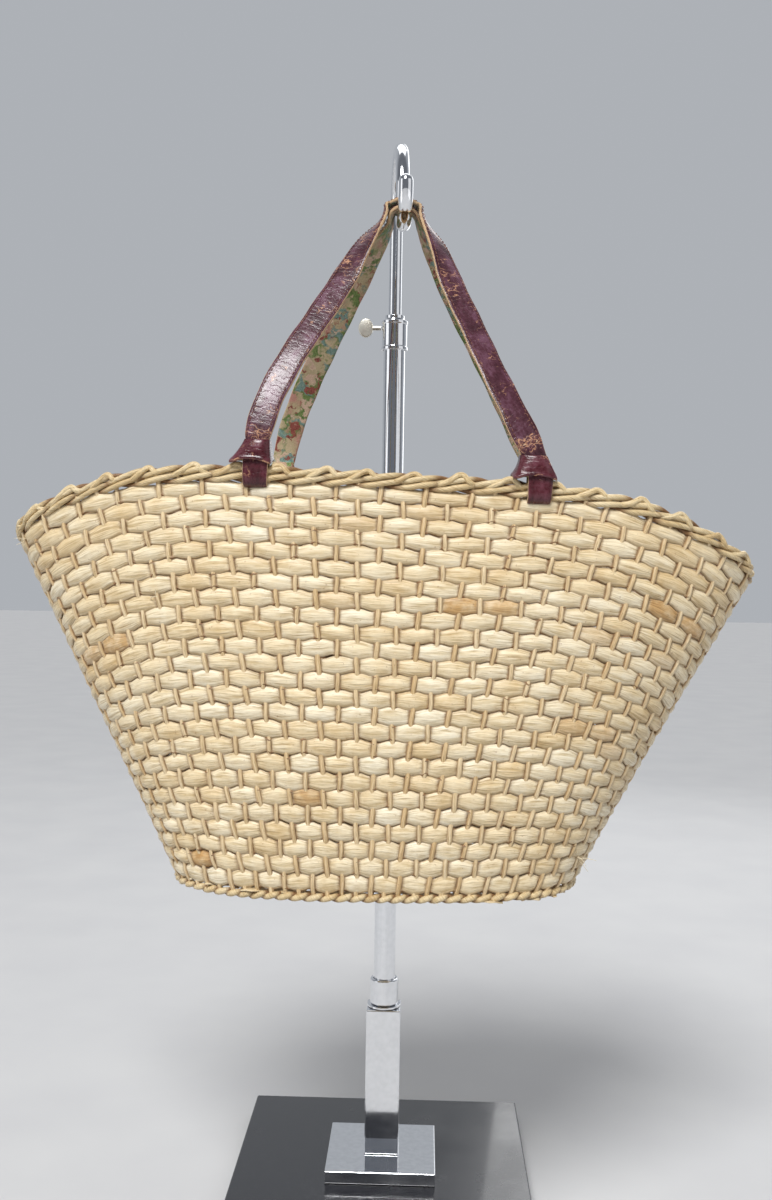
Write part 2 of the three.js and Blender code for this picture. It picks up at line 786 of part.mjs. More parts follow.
// Slot under the rim cords that a strap passes through
function slotCutter(frame) {
  const length = strapWidth + 2 * leatherGap;
  const depth = slotDepth + seatGap;
  const cutter = new THREE.BoxGeometry(length, wallThickness * 4, depth);
  cutter.translate(0, 0, depth / 2 - slotDepth);
  const up = new THREE.Vector3(0, 0, 1);
  const basis = new THREE.Matrix4().makeBasis(frame.along, up.clone().cross(frame.along), up);
  basis.setPosition(frame.foot);
  return cutter.applyMatrix4(basis);
}

function buildBasket() {
  let shell = toSolid(basketShell());
  for (const face of ['front', 'rear']) {
    for (const attachment of attachments) {
      shell = shell.subtract(toSolid(slotCutter(attachFrame(attachment, face))));
    }
  }
  addPiece(bag, 'basket_body', fromSolid(shell), straw);
}

function buildSleeves() {
  for (const face of ['front', 'rear']) {
    for (const attachment of attachments) {
      const sleeve = sleeveShape(attachFrame(attachment, face));
      addPiece(bag, `handle_sleeve_${face}_${attachment.name}`, sleeve, leather);
    }
  }
}

// The bag hangs from the hook, a little turned and off to one side
bag.rotation.y = radians(hangTilt);
bag.position.set(hookAcross + hangOffset, -hookForward, frontCrown - handleRise - wallHeight);
bag.updateMatrixWorld(true);

buildBase();
buildUpright();
buildThumbScrew();
buildHook();
buildBasket();
buildRim();
buildBaseCord();
buildHandle('front');
buildHandle('rear');
buildSleeves();

export default assembly;
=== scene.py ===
import math

import bmesh
import bpy
import numpy as np
from mathutils import Matrix, Vector


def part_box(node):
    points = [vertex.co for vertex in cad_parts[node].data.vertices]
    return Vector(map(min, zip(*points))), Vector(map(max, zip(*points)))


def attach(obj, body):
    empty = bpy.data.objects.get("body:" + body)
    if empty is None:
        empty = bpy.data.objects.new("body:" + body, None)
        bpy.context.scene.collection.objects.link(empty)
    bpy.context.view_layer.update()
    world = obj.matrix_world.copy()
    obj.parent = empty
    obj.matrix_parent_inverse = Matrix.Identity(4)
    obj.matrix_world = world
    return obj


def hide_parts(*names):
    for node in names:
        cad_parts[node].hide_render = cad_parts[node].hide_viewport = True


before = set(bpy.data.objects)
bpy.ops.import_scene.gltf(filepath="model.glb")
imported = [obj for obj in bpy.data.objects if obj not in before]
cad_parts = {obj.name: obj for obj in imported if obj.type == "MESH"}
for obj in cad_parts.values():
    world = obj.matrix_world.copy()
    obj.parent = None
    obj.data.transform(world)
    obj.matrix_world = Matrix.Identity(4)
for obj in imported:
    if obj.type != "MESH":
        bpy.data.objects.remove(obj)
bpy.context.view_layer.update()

# Everything below is measured in millimetres and becomes metres where a mesh is filled in.
MM = 0.001
TAU = 2 * math.pi


# Camera, at the photograph's place

IMAGE_HEIGHT = 1200
FOCAL_PIXELS = 1236
SENSOR = 36
CAMERA_PLACE = (25, -918, 455)
CAMERA_YAW = 1.76
CAMERA_PITCH = -1.25
CAMERA_ROLL = 0.9


def place_camera():
    lens = bpy.data.cameras.new("camera")
    lens.sensor_width = SENSOR
    lens.lens = FOCAL_PIXELS / IMAGE_HEIGHT * SENSOR
    lens.clip_start = 0.01
    camera = bpy.data.objects.new("camera", lens)
    camera.location = Vector(CAMERA_PLACE) * MM
    turn = Matrix.Rotation(math.radians(CAMERA_YAW), 3, "Z")
    turn = turn @ Matrix.Rotation(math.radians(90 + CAMERA_PITCH), 3, "X")
    turn = turn @ Matrix.Rotation(math.radians(CAMERA_ROLL), 3, "Z")
    camera.rotation_euler = turn.to_euler()
    bpy.context.scene.collection.objects.link(camera)
    bpy.context.scene.camera = camera


# Driving sizes of the stand's hook and of the way the bag hangs on it

ROD_DIAMETER = 9.5
TUBE_DIAMETER = 15.9
STRAP_WIDTH = 17.5
STRAP_THICKNESS = 2.6
HOOK_ROOM = 6.5
HOOK_DESCENT = 6.6
HOOK_TIP_RISE = 1.5
HOOK_TURN = 4.4
TUBE_CLEARANCE = 3.5
LEATHER_GAP = 0.5
STRAP_STACK_GAP = 2.4
HANDLE_RISE = 194
HANG_TILT = 1.4
HANG_OFFSET = -12

# Driving sizes of the basket's outline

BASE_HALF_LENGTH = 128
BASE_HALF_DEPTH = 74
RIM_HALF_LENGTH = 238
RIM_HALF_DEPTH = 78
BELLY_HALF_DEPTH = 84
WALL_HEIGHT = 250.5
WALL_THICKNESS = 4
WEAVE_RELIEF = 0.7
BASE_BAND = 5.3
END_DROP = 45
DROP_BEND = 1.65
DROP_CURVE = 5
STAKES = 80
ROWS = 25
ROUNDNESS_BASE = 2.8
ROUNDNESS_RIM = 2.6
SKEW_BASE = 1.6
SKEW_RIM = -1.0
RIM_SHIFT = -3.5

# The hook's line and the strap's seat on it, from the same sizes as the model

rod_radius = ROD_DIAMETER / 2
cup_radius = STRAP_WIDTH / 2 + rod_radius + HOOK_ROOM
hook_reach = TUBE_DIAMETER / 2 + TUBE_CLEARANCE + BELLY_HALF_DEPTH + WALL_THICKNESS / 2 + WEAVE_RELIEF
arch_radius = (hook_reach - cup_radius) / 2
hook_low, hook_high = (np.array(corner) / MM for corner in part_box("hook_rod"))
rod_bottom = hook_low[2]
arch_centre = hook_high[2] - rod_radius - arch_radius
cup_centre = arch_centre - HOOK_DESCENT
cup_bottom = cup_centre - cup_radius
hook_across = hook_reach * math.sin(math.radians(HOOK_TURN))
hook_forward = hook_reach * math.cos(math.radians(HOOK_TURN))
strap_seat = cup_centre - math.sqrt((cup_radius - rod_radius) ** 2 - (STRAP_WIDTH / 2) ** 2)
rear_crown = strap_seat + LEATHER_GAP + STRAP_THICKNESS / 2
front_crown = rear_crown + STRAP_THICKNESS + STRAP_STACK_GAP

BAG_PLACE = np.array([
    hook_across + HANG_OFFSET,
    -hook_forward,
    front_crown - HANDLE_RISE - WALL_HEIGHT,
])


def bag_to_world(points):
    """Millimetre points of the bag's own frame, put where the bag hangs."""
    tilt = math.radians(HANG_TILT)
    x, y, z = points[..., 0], points[..., 1], points[..., 2]
    leaned = np.stack([
        x * math.cos(tilt) + z * math.sin(tilt),
        y,
        z * math.cos(tilt) - x * math.sin(tilt),
    ], axis=-1)
    return leaned + BAG_PLACE


def world_to_bag(point):
    tilt = math.radians(HANG_TILT)
    x, y, z = np.array(point) - BAG_PLACE
    return np.array([
        x * math.cos(tilt) - z * math.sin(tilt),
        y,
        z * math.cos(tilt) + x * math.sin(tilt),
    ])


# The basket's wall as a surface. level is 0 at the base and 1 at the top edge, share is the way
# round from the right end, a quarter at the rear's middle and three quarters at the front's.

LEVELS = np.linspace(-0.08, 1.12, 151)
SHARES = np.linspace(0, 1, 961)
QUARTER = np.linspace(0, math.pi / 2, 181)


def end_share(share):
    return np.abs((share * 4) % 2 - 1)


def drop_at(level, share):
    band = BASE_BAND / WALL_HEIGHT
    above = np.clip((level - band) / (1 - band), 0, 1)
    near = end_share(share)
    fall = near ** DROP_CURVE * (1 + DROP_CURVE / 2 * (1 - near ** 2))
    return END_DROP * (1 - (1 - above) ** DROP_BEND) * fall


def wall_line(level):
    """Middle line of the wall at one level, a point for each of SHARES."""
    end_height = level * WALL_HEIGHT - drop_at(level, 0.0)
    half_length = BASE_HALF_LENGTH + (
        (RIM_HALF_LENGTH - BASE_HALF_LENGTH) * end_height / (WALL_HEIGHT - END_DROP)
    )
    belly = 4 * max(level, 0) * (1 - min(1, max(level, 0)))
    swell = BELLY_HALF_DEPTH - (BASE_HALF_DEPTH + RIM_HALF_DEPTH) / 2
    half_depth = BASE_HALF_DEPTH + (RIM_HALF_DEPTH - BASE_HALF_DEPTH) * level + belly * swell
    power = 2 / (ROUNDNESS_BASE + (ROUNDNESS_RIM - ROUNDNESS_BASE) * level)
    skew = math.tan(math.radians(SKEW_BASE + (SKEW_RIM - SKEW_BASE) * level))
    x = half_length * np.clip(np.cos(QUARTER), 0, 1) ** power
    y = half_depth * np.sin(QUARTER) ** power
    run = np.concatenate([[0], np.cumsum(np.hypot(np.diff(x), np.diff(y)))])
    wanted = (1 - end_share(SHARES)) * run[-1]
    across = np.interp(wanted, run, x)
    deep = np.interp(wanted, run, y)
    across = np.where((SHARES > 0.25) & (SHARES < 0.75), -across, across)
    deep = np.where(SHARES > 0.5, -deep, deep)
    across = across + RIM_SHIFT * level
    height = level * WALL_HEIGHT - drop_at(level, SHARES) + skew * across
    return np.stack([across, deep, height], axis=-1)


WALL = np.stack([wall_line(level) for level in LEVELS])


def unit(vectors):
    return vectors / np.linalg.norm(vectors, axis=-1, keepdims=True)


def wall_directions():
    """Outward and along directions of the wall, and the distance between its stakes."""
    along = np.empty_like(WALL)
    along[:, 1:-1] = WALL[:, 2:] - WALL[:, :-2]
    along[:, 0] = along[:, -1] = WALL[:, 1] - WALL[:, -2]
    up = np.gradient(WALL, axis=0)
    spacing = np.linalg.norm(along, axis=-1, keepdims=True) * (len(SHARES) - 1) / (2 * STAKES)
    return unit(np.cross(along, up)), unit(along), spacing


NORMALS, ALONGS, SPACING = wall_directions()


def sample(table, level, share):
    """Values of a table over LEVELS and SHARES, read smoothly between its entries."""
    row = (level - LEVELS[0]) / (LEVELS[1] - LEVELS[0])
    column = (share % 1.0) * (len(SHARES) - 1)
    row = np.clip(row, 0, len(LEVELS) - 1.001)
    r = row.astype(int)
    c = np.minimum(column.astype(int), len(SHARES) - 2)
    fr = (row - r)[..., None]
    fc = (column - c)[..., None]
    low = table[r, c] * (1 - fc) + table[r, c + 1] * fc
    high = table[r + 1, c] * (1 - fc) + table[r + 1, c + 1] * fc
    return low * (1 - fr) + high * fr


def on_wall(level, share, proud):
    """Points of the wall pushed out along its normal, in the bag's frame."""
    level, share, proud = np.broadcast_arrays(level, share, proud)
    return sample(WALL, level, share) + sample(NORMALS, level, share) * proud[..., None]


def on_edge(level, share, proud, lift):
    """Points off a horizontal edge of the basket: proud goes out level, lift goes up."""
    level, share, proud, lift = np.broadcast_arrays(level, share, proud, lift)
    out = sample(NORMALS, level, share)
    out[..., 2] = 0
    points = sample(WALL, level, share) + unit(out) * proud[..., None]
    points[..., 2] += lift
    return points


# Mesh building

def finished(bm, name):
    mesh = bpy.data.meshes.new(name)
    bm.to_mesh(mesh)
    bm.free()
    return mesh


def coordinates(mesh):
    flat = np.empty(len(mesh.vertices) * 3)
    mesh.vertices.foreach_get("co", flat)
    return flat.reshape(-1, 3)


def place(mesh, points):
    """Gives a mesh its vertices' places, in millimetres of the stand's frame."""
    mesh.vertices.foreach_set("co", (np.asarray(points).reshape(-1, 3) * MM).ravel())
    mesh.update()


def paint(mesh, name, values):
    """Stores a number or a vector for each vertex, for the materials to read."""
    values = np.asarray(values, dtype=float)
    vector = values.ndim > 1 and values.shape[-1] == 3
    kind = "FLOAT_VECTOR" if vector else "FLOAT"
    layer = mesh.attributes.new(name, kind, "POINT")
    layer.data.foreach_set("vector" if vector else "value", values.ravel())


def ring_template(steps, sides):
    """A torus: a unit tube round a ring of radius 2."""
    bm = bmesh.new()
    bmesh.ops.create_circle(bm, segments=sides, radius=1)
    bmesh.ops.rotate(bm, verts=bm.verts, matrix=Matrix.Rotation(math.pi / 2, 3, "X"))
    bmesh.ops.translate(bm, verts=bm.verts, vec=(2, 0, 0))
    bmesh.ops.spin(
        bm, geom=bm.verts[:] + bm.edges[:], axis=(0, 0, 1), angle=TAU, steps=steps, use_merge=True,
    )
    bmesh.ops.recalc_face_normals(bm, faces=bm.faces)
    return finished(bm, "ring_template")


def rod_template(cuts, sides):
    """A closed unit rod standing on z = 0, one long, cut across into short lengths."""
    bm = bmesh.new()
    bmesh.ops.create_cone(bm, cap_ends=True, segments=sides, radius1=1, radius2=1, depth=1)
    bmesh.ops.translate(bm, verts=bm.verts, vec=(0, 0, 0.5))
    upright = [e for e in bm.edges if abs(e.verts[0].co.z - e.verts[1].co.z) > 0.5]
    bmesh.ops.subdivide_edges(bm, edges=upright, cuts=cuts, use_grid_fill=True)
    return finished(bm, "rod_template")


def copies(template, count, name):
    """One mesh that holds a template many times, in order."""
    bm = bmesh.new()
    for _ in range(count):
        bm.from_mesh(template)
    return finished(bm, name)


def ring_places(template):
    """For each vertex of a ring: its share of the way round and its angle on the tube."""
    x, y, z = coordinates(template).T
    share = (np.arctan2(y, x) / TAU) % 1.0
    return share, np.arctan2(z, np.hypot(x, y) - 2)


def add_piece(name, mesh, finishes, slot, *nodes):
    piece = bpy.data.objects.new(name, mesh)
    bpy.context.scene.collection.objects.link(piece)
    for finish in finishes:
        mesh.materials.append(finish)
    mesh.polygons.foreach_set("use_smooth", [True] * len(mesh.polygons))
    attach(piece, "root")
    if nodes:
        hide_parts(*nodes)
    return piece


def add_straw(name, mesh, places, finish, *nodes, **painted):
    """A straw piece from its vertices' places in the bag's frame and what is painted on them."""
    place(mesh, bag_to_world(np.stack(places)))
    for layer, values in painted.items():
        values = np.stack(values)
        paint(mesh, layer, values.reshape(-1, 3) if layer == "grain" else values.ravel())
    return add_piece(name, mesh, [finish], "straw", *nodes)


# Materials

class Finish:
    """A material whose nodes are added and wired by short calls."""

    def __init__(self, name, **uniform):
        self.material = bpy.data.materials.new(name)
        self.material.use_nodes = True
        self.tree = self.material.node_tree
        self.shader = self.tree.nodes["Principled BSDF"]
        for socket, value in uniform.items():
            self.shader.inputs[socket.replace("_", " ")].default_value = value

    def node(self, kind, inputs, output=0, **settings):
        node = self.tree.nodes.new(kind)
        for name, value in settings.items():
            setattr(node, name, value)
        for socket, value in inputs.items():
            if isinstance(value, bpy.types.NodeSocket):
                self.tree.links.new(value, node.inputs[socket])
            else:
                node.inputs[socket].default_value = value
        return node.outputs[output]

    def attribute(self, name, output="Fac"):
        return self.node("ShaderNodeAttribute", {}, output, attribute_name=name)

    def place(self):
        return self.node("ShaderNodeTexCoord", {}, "Object")

    def stretched(self, vector, scale):
        return self.node("ShaderNodeMapping", {"Vector": vector, "Scale": scale})

    def noise(self, vector, scale, detail=3.0, roughness=0.5):
        return self.node("ShaderNodeTexNoise", {
            "Vector": vector, "Scale": scale, "Detail": detail, "Roughness": roughness,
        })

    def ramp(self, factor, *stops):
        node = self.tree.nodes.new("ShaderNodeValToRGB")
        self.tree.links.new(factor, node.inputs[0])
        elements = node.color_ramp.elements
        while len(elements) < len(stops):
            elements.new(0.5)
        for element, (position, colour) in zip(elements, stops):
            element.position = position
            grey = isinstance(colour, (int, float))
            element.color = (colour, colour, colour, 1) if grey else (*colour, 1)
        return node.outputs[0]

    def math(self, operation, *values):
        return self.node("ShaderNodeMath", dict(enumerate(values)), operation=operation)

    def mix(self, factor, first, second, blend="MIX"):
        values = {0: factor, 6: first, 7: second}
        for socket in (6, 7):
            if isinstance(values[socket], tuple):
                values[socket] = (*values[socket], 1)
        return self.node("ShaderNodeMix", values, 2, data_type="RGBA", blend_type=blend)

    def bump(self, height, distance, strength=1.0, normal=None):
        inputs = {"Height": height, "Distance": distance * MM, "Strength": strength}
        if normal is not None:
            inputs["Normal"] = normal
        return self.node("ShaderNodeBump", inputs)

    def wire(self, **sockets):
        for socket, value in sockets.items():
            self.tree.links.new(value, self.shader.inputs[socket.replace("_", " ")])
        return self.material


def tone(red, green, blue):
    """A display colour of 0 to 255 as the linear colour that shaders use."""
    return tuple(
        (c / 255 / 12.92) if c <= 10 else ((c / 255 + 0.055) / 1.055) ** 2.4
        for c in (red, green, blue)
    )


def straw_finish(name, pale, middle, deep):
    """Husk straw: fibres along the strand from its grain; age, stains and painted shade in grooves and on far
    sides from its paint.
    """
    finish = Finish(name, Specular_IOR_Level=0.5, Coat_Weight=0.25, Coat_Roughness=0.3)
    grain = finish.attribute("grain", "Vector")
    fibres = finish.noise(grain, 1.0, 5, 0.65)
    broad = finish.noise(finish.stretched(grain, (0.8, 0.8, 0.3)), 1.0, 3, 0.55)
    fine = finish.noise(finish.stretched(grain, (2.5, 2.5, 3.4)), 1.0, 3, 0.6)
    patches = finish.noise(finish.stretched(grain, (1.4, 1.4, 0.05)), 1.0, 3, 0.6)
    age = finish.math("MULTIPLY_ADD", finish.attribute("tone"), 0.5, finish.math("MULTIPLY", patches, 0.6))
    base = finish.ramp(age, (0.25, pale), (0.58, middle), (0.92, deep))
    streaks = finish.ramp(fibres, (0.30, (0.50, 0.40, 0.27)), (0.43, (0.86, 0.82, 0.74)),
                          (0.52, (1.0, 1.0, 1.0)), (0.72, (1.12, 1.10, 1.04)))
    colour = finish.mix(0.95, base, streaks, "MULTIPLY")
    bands = finish.ramp(broad, (0.36, (0.80, 0.74, 0.62)), (0.52, (1.0, 1.0, 1.0)))
    colour = finish.mix(0.85, colour, bands, "MULTIPLY")
    hairs = finish.ramp(fine, (0.33, (0.66, 0.56, 0.42)), (0.45, (1.0, 1.0, 1.0)))
    colour = finish.mix(0.5, colour, hairs, "MULTIPLY")
    specks = finish.ramp(finish.noise(finish.place(), 520, 2, 0.5), (0.69, 0.0), (0.74, 1.0))
    colour = finish.mix(finish.math("MULTIPLY", specks, 0.4), colour, tone(140, 88, 40))
    blot = finish.math("MULTIPLY", finish.attribute("stain"),
                       finish.ramp(finish.noise(finish.place(), 190, 3, 0.6), (0.3, 0.45), (0.6, 1.0)))
    colour = finish.mix(blot, colour, (0.70, 0.50, 0.28), "MULTIPLY")
    # The edge paint is painted shade. It darkens the straw to dark brown where shade falls: in the grooves
    # between rows, beside the stakes, on the stakes' sides and on the cords' hidden turns.
    colour = finish.mix(finish.attribute("edge"), colour, (0.30, 0.17, 0.075), "MULTIPLY")
    rough = finish.ramp(fibres, (0.3, 0.6), (0.65, 0.34))
    height = finish.math("ADD", fibres, finish.math("MULTIPLY", fine, 0.35))
    height = finish.math("MULTIPLY_ADD", broad, 1.2, height)
    return finish.wire(Base_Color=colour, Roughness=rough, Normal=finish.bump(height, 0.55, 0.9))


def patent_finish(name, shade, middle, palest, gloss):
    """Old patent leather: glossy, wrinkled across, with cracks that show the tan under it."""
    finish = Finish(name, Specular_IOR_Level=0.35, Coat_Weight=gloss, Coat_Roughness=0.22)
    grain = finish.attribute("grain", "Vector")
    wear = finish.attribute("wear")
    cloud = finish.noise(finish.stretched(grain, (0.06, 0.12, 0.1)), 1.0, 3, 0.6)
    fine_cloud = finish.noise(finish.stretched(grain, (0.5, 0.5, 0.3)), 1.0, 3, 0.6)
    base = finish.ramp(finish.math("MULTIPLY_ADD", fine_cloud, 0.3, cloud),
                       (0.5, shade), (0.66, middle), (0.85, palest))
    drift = finish.node("ShaderNodeTexNoise", {"Vector": grain, "Scale": 0.24, "Detail": 4.0}, "Color")
    shift = finish.node("ShaderNodeVectorMath", {0: drift, "Scale": 7.0}, operation="SCALE")
    bent = finish.node("ShaderNodeVectorMath", {0: grain, 1: shift}, operation="ADD")
    cells = finish.node("ShaderNodeTexVoronoi", {
        "Vector": finish.stretched(bent, (0.24, 0.085, 0.1)), "Scale": 1.0,
    }, "Distance", feature="DISTANCE_TO_EDGE")
    small = finish.node("ShaderNodeTexVoronoi", {
        "Vector": finish.stretched(bent, (0.75, 0.36, 0.3)), "Scale": 1.0,
    }, "Distance", feature="DISTANCE_TO_EDGE")
    spread = finish.noise(finish.stretched(grain, (0.1, 0.2, 0.1)), 1.0, 2, 0.5)
    gate = finish.math("MULTIPLY_ADD", wear, 0.8, spread)
    open_cracks = finish.math("MULTIPLY", finish.ramp(cells, (0.0, 1.0), (0.05, 0.0)),
                              finish.ramp(gate, (0.60, 0.0), (0.74, 1.0)))
    small_cracks = finish.math("MULTIPLY", finish.ramp(small, (0.0, 1.0), (0.07, 0.0)),
                               finish.ramp(gate, (0.82, 0.0), (1.0, 0.9)))
    flakes = finish.noise(finish.stretched(grain, (0.55, 0.45, 0.4)), 1.0, 4, 0.7)
    bare = finish.ramp(finish.math("MULTIPLY_ADD", wear, 0.5, finish.math("MULTIPLY", flakes, 0.8)),
                       (0.80, 0.0), (0.88, 1.0))
    tan = finish.ramp(flakes, (0.3, tone(146, 104, 78)), (0.7, tone(214, 186, 152)))
    colour = finish.mix(open_cracks, base, tone(190, 142, 110))
    colour = finish.mix(small_cracks, colour, tone(168, 120, 94))
    colour = finish.mix(bare, colour, tan)
    wrinkle = finish.noise(finish.stretched(grain, (0.42, 0.07, 0.1)), 1.0, 3, 0.55)
    dents = finish.noise(finish.stretched(grain, (0.5, 0.35, 0.3)), 1.0, 2, 0.5)
    height = finish.math("ADD", finish.ramp(cells, (0.0, 0.0), (0.12, 0.5)),
                         finish.math("MULTIPLY_ADD", wrinkle, 1.6, finish.math("MULTIPLY", dents, 0.5)))
    height = finish.math("MULTIPLY_ADD", bare, -0.25, height)
    rough = finish.mix(bare, finish.ramp(fine_cloud, (0.3, 0.22), (0.7, 0.36)), (0.8, 0.8, 0.8))
    bump = finish.bump(height, 0.26, 0.42)
    return finish.wire(Base_Color=colour, Roughness=rough, Normal=bump, Coat_Normal=bump)


def raw_edge_finish():
    finish = Finish("raw_leather_edge", Roughness=0.85)
    grain = finish.attribute("grain", "Vector")
    fuzz = finish.noise(finish.stretched(grain, (0.7, 2.5, 2.5)), 1.0, 4, 0.7)
    colour = finish.ramp(fuzz, (0.3, tone(120, 84, 58)), (0.5, tone(190, 158, 120)),
                         (0.72, tone(226, 205, 170)))
    return finish.wire(Base_Color=colour, Normal=finish.bump(fuzz, 0.3, 0.8))


def lining_finish():
    """Faded printed cloth under the straps: loose leaves and small blossoms on a greyed cream."""
    finish = Finish("printed_lining", Roughness=0.75, Sheen_Weight=0.1)
    grain = finish.attribute("grain", "Vector")
    drift = finish.node("ShaderNodeTexNoise", {"Vector": grain, "Scale": 0.16, "Detail": 5.0}, "Color")
    shift = finish.node("ShaderNodeVectorMath", {0: drift, "Scale": 16.0}, operation="SCALE")
    bent = finish.node("ShaderNodeVectorMath", {0: grain, 1: shift}, operation="ADD")
    ground = finish.ramp(finish.noise(finish.stretched(grain, (0.05, 0.08, 0.1)), 1.0, 3, 0.6),
                         (0.38, tone(204, 186, 150)), (0.5, tone(190, 172, 136)), (0.62, tone(196, 142, 128)))
    colour = ground
    leaves = (
        # stretch along and across, offset, where it starts and is full, colours
        ((0.06, 0.12), 0, 0.48, 0.56, tone(76, 104, 50), tone(138, 160, 92)),
        ((0.11, 0.09), 70, 0.56, 0.62, tone(92, 128, 122), tone(146, 172, 160)),
        ((0.11, 0.15), 140, 0.59, 0.65, tone(120, 52, 44), tone(168, 92, 78)),
        ((0.14, 0.11), 210, 0.58, 0.64, tone(206, 168, 150), tone(226, 204, 176)),
    )
    for (along, across), offset, start, full, dark, light in leaves:
        spot = finish.node("ShaderNodeMapping", {
            "Vector": bent, "Scale": (along, across, 0.12), "Location": (offset, offset, 0),
        })
        mask = finish.ramp(finish.noise(spot, 1.0, 2, 0.5), (start, 0.0), (full, 1.0))
        veins = finish.noise(finish.stretched(spot, (5.0, 9.0, 4.0)), 1.0, 3, 0.6)
        colour = finish.mix(mask, colour, finish.ramp(veins, (0.35, dark), (0.65, light)))
    mottle = finish.ramp(finish.noise(finish.stretched(grain, (1.2, 1.2, 1.0)), 1.0, 4, 0.7),
                         (0.35, (0.72, 0.70, 0.66)), (0.6, (1.0, 1.0, 1.0)))
    colour = finish.mix(0.8, colour, mottle, "MULTIPLY")
    weave = finish.node("ShaderNodeTexWave", {"Vector": grain, "Scale": 3.0})
    return finish.wire(Base_Color=colour, Normal=finish.bump(weave, 0.08, 0.5))


def thread_finish():
    finish = Finish("stitch_thread", Roughness=0.6)
    twist = finish.noise(finish.place(), 2400, 2, 0.5)
    colour = finish.ramp(twist, (0.35, tone(74, 34, 32)), (0.65, tone(132, 84, 66)))
    return finish.wire(Base_Color=colour)


def chrome_finish():
    finish = Finish("polished_chrome", Metallic=1.0, Roughness=0.05)
    smears = finish.noise(finish.place(), 34, 4, 0.6)
    cloud = finish.noise(finish.place(), 260, 2, 0.5)
    colour = finish.ramp(cloud, (0.3, (0.80, 0.81, 0.83)), (0.7, (0.87, 0.88, 0.90)))
    scratches = finish.noise(finish.stretched(finish.place(), (900, 900, 30)), 1.0, 2, 0.5)
    rough = finish.ramp(finish.math("MULTIPLY_ADD", smears, 0.8, finish.math("MULTIPLY", scratches, 0.2)),
                        (0.4, 0.035), (0.7, 0.12))
    return finish.wire(Base_Color=colour, Roughness=rough, Normal=finish.bump(scratches, 0.02, 0.08))


def board_finish():
    finish = Finish("black_lacquer", Roughness=0.16, Coat_Weight=0.6, Coat_Roughness=0.06)
    dust = finish.noise(finish.place(), 900, 3, 0.6)
    smears = finish.noise(finish.place(), 16, 4, 0.6)
    colour = finish.ramp(dust, (0.55, (0.006, 0.006, 0.008)), (0.8, (0.05, 0.05, 0.055)))
    rough = finish.ramp(smears, (0.35, 0.1), (0.7, 0.3))
    peel = finish.noise(finish.place(), 120, 2, 0.5)
    return finish.wire(Base_Color=colour, Roughness=rough, Normal=finish.bump(peel, 0.05, 0.25))


def pearl_finish():
    """The thumb screw's dull nickel face."""
    finish = Finish("dull_nickel", Metallic=0.75, Roughness=0.32)
    cloud = finish.noise(finish.place(), 160, 3, 0.6)
    colour = finish.ramp(cloud, (0.3, tone(196, 190, 176)), (0.7, tone(222, 218, 206)))
    return finish.wire(Base_Color=colour)


# Weave. A strip passes over and under the stakes in turn; row counts from the base.

ROW_PITCH_BASE = 1.1
ROW_PITCH_TOP = 0.92
STRIP_SWING = 1.35
STAKE_SWING = 0.5
STRIP_THICKNESS = 1.4
STRIP_WAIST = 0.72
STRIP_BULGE = 0.54
STRIP_BACK = 1.02
STRIP_CURL = 2.4
STRIP_CLIMB = 0.38
STRIP_STEPS = 8
STRIP_SIDES = 16
STAKE_HALF_WIDTH = 1.6
STAKE_HALF_DEPTH = 1.2
FIBRE_RING = 9.0

# Stained strips of the front: x across and z up in the bag's frame, how strong
STAINS = (
    (-164, 150, 0.95), (-181, 145, 0.75), (47, 180, 1.0), (71, 179, 0.75), (-28, 181, 0.35),
    (-12, 231, 0.35), (17, 233, 0.3), (176, 183, 0.95), (193, 174, 0.95), (130, 163, 0.4),
    (174, 153, 0.4), (-110, 18, 1.0), (-40, 54, 0.85), (118, 109, 0.55), (134, 104, 0.55),
    (148, 99, 0.5),
)


def eased(values):
    values = np.clip(values, 0, 1)
    return values * values * (3 - 2 * values)


def row_levels():
    """Level of each row's middle and the height of each row, as shares of the wall."""
    weights = np.linspace(ROW_PITCH_BASE, ROW_PITCH_TOP, ROWS)
    heights = weights / weights.sum() * (1 - BASE_BAND / WALL_HEIGHT)
    tops = np.cumsum(heights) + BASE_BAND / WALL_HEIGHT
    return tops - heights / 2, heights


ROW_LEVEL, ROW_HEIGHT = row_levels()


def row_count(level):
    """The row number at a level, running on smoothly between the rows."""
    below = ROW_LEVEL[0] - ROW_HEIGHT[0]
    above = ROW_LEVEL[-1] + ROW_HEIGHT[-1]
    return np.interp(level, [below, *ROW_LEVEL, above], np.arange(-1, ROWS + 1))


def stain_chart():
    """Stain of each strip face, by row and brick."""
    chart = np.zeros((ROWS, STAKES // 2))
    for x, z, strength in STAINS:
        best = None
        for row in range(ROWS):
            brick = np.arange(STAKES // 2)
            share = (2 * brick + (row + 1) % 2) / STAKES
            spot = on_wall(np.full(share.shape, ROW_LEVEL[row]), share, np.zeros(share.shape))
            away = np.hypot(spot[:, 0] - x, spot[:, 2] - z) + np.where(spot[:, 1] > 0, 999, 0)
            nearest = int(away.argmin())
            if best is None or away[nearest] < best[0]:
                best = (away[nearest], row, nearest)
        chart[best[1], best[2]] = max(chart[best[1], best[2]], strength)
    return chart


def wander(share, terms, seed):
    """A smooth random line round the basket, about -1 to 1."""
    dice = np.random.RandomState(seed)
    total = np.zeros_like(share)
    for _ in range(4):
        turns = dice.randint(1, terms + 1)
        total += np.sin(TAU * (turns * share + dice.rand())) / 2.6
    return total


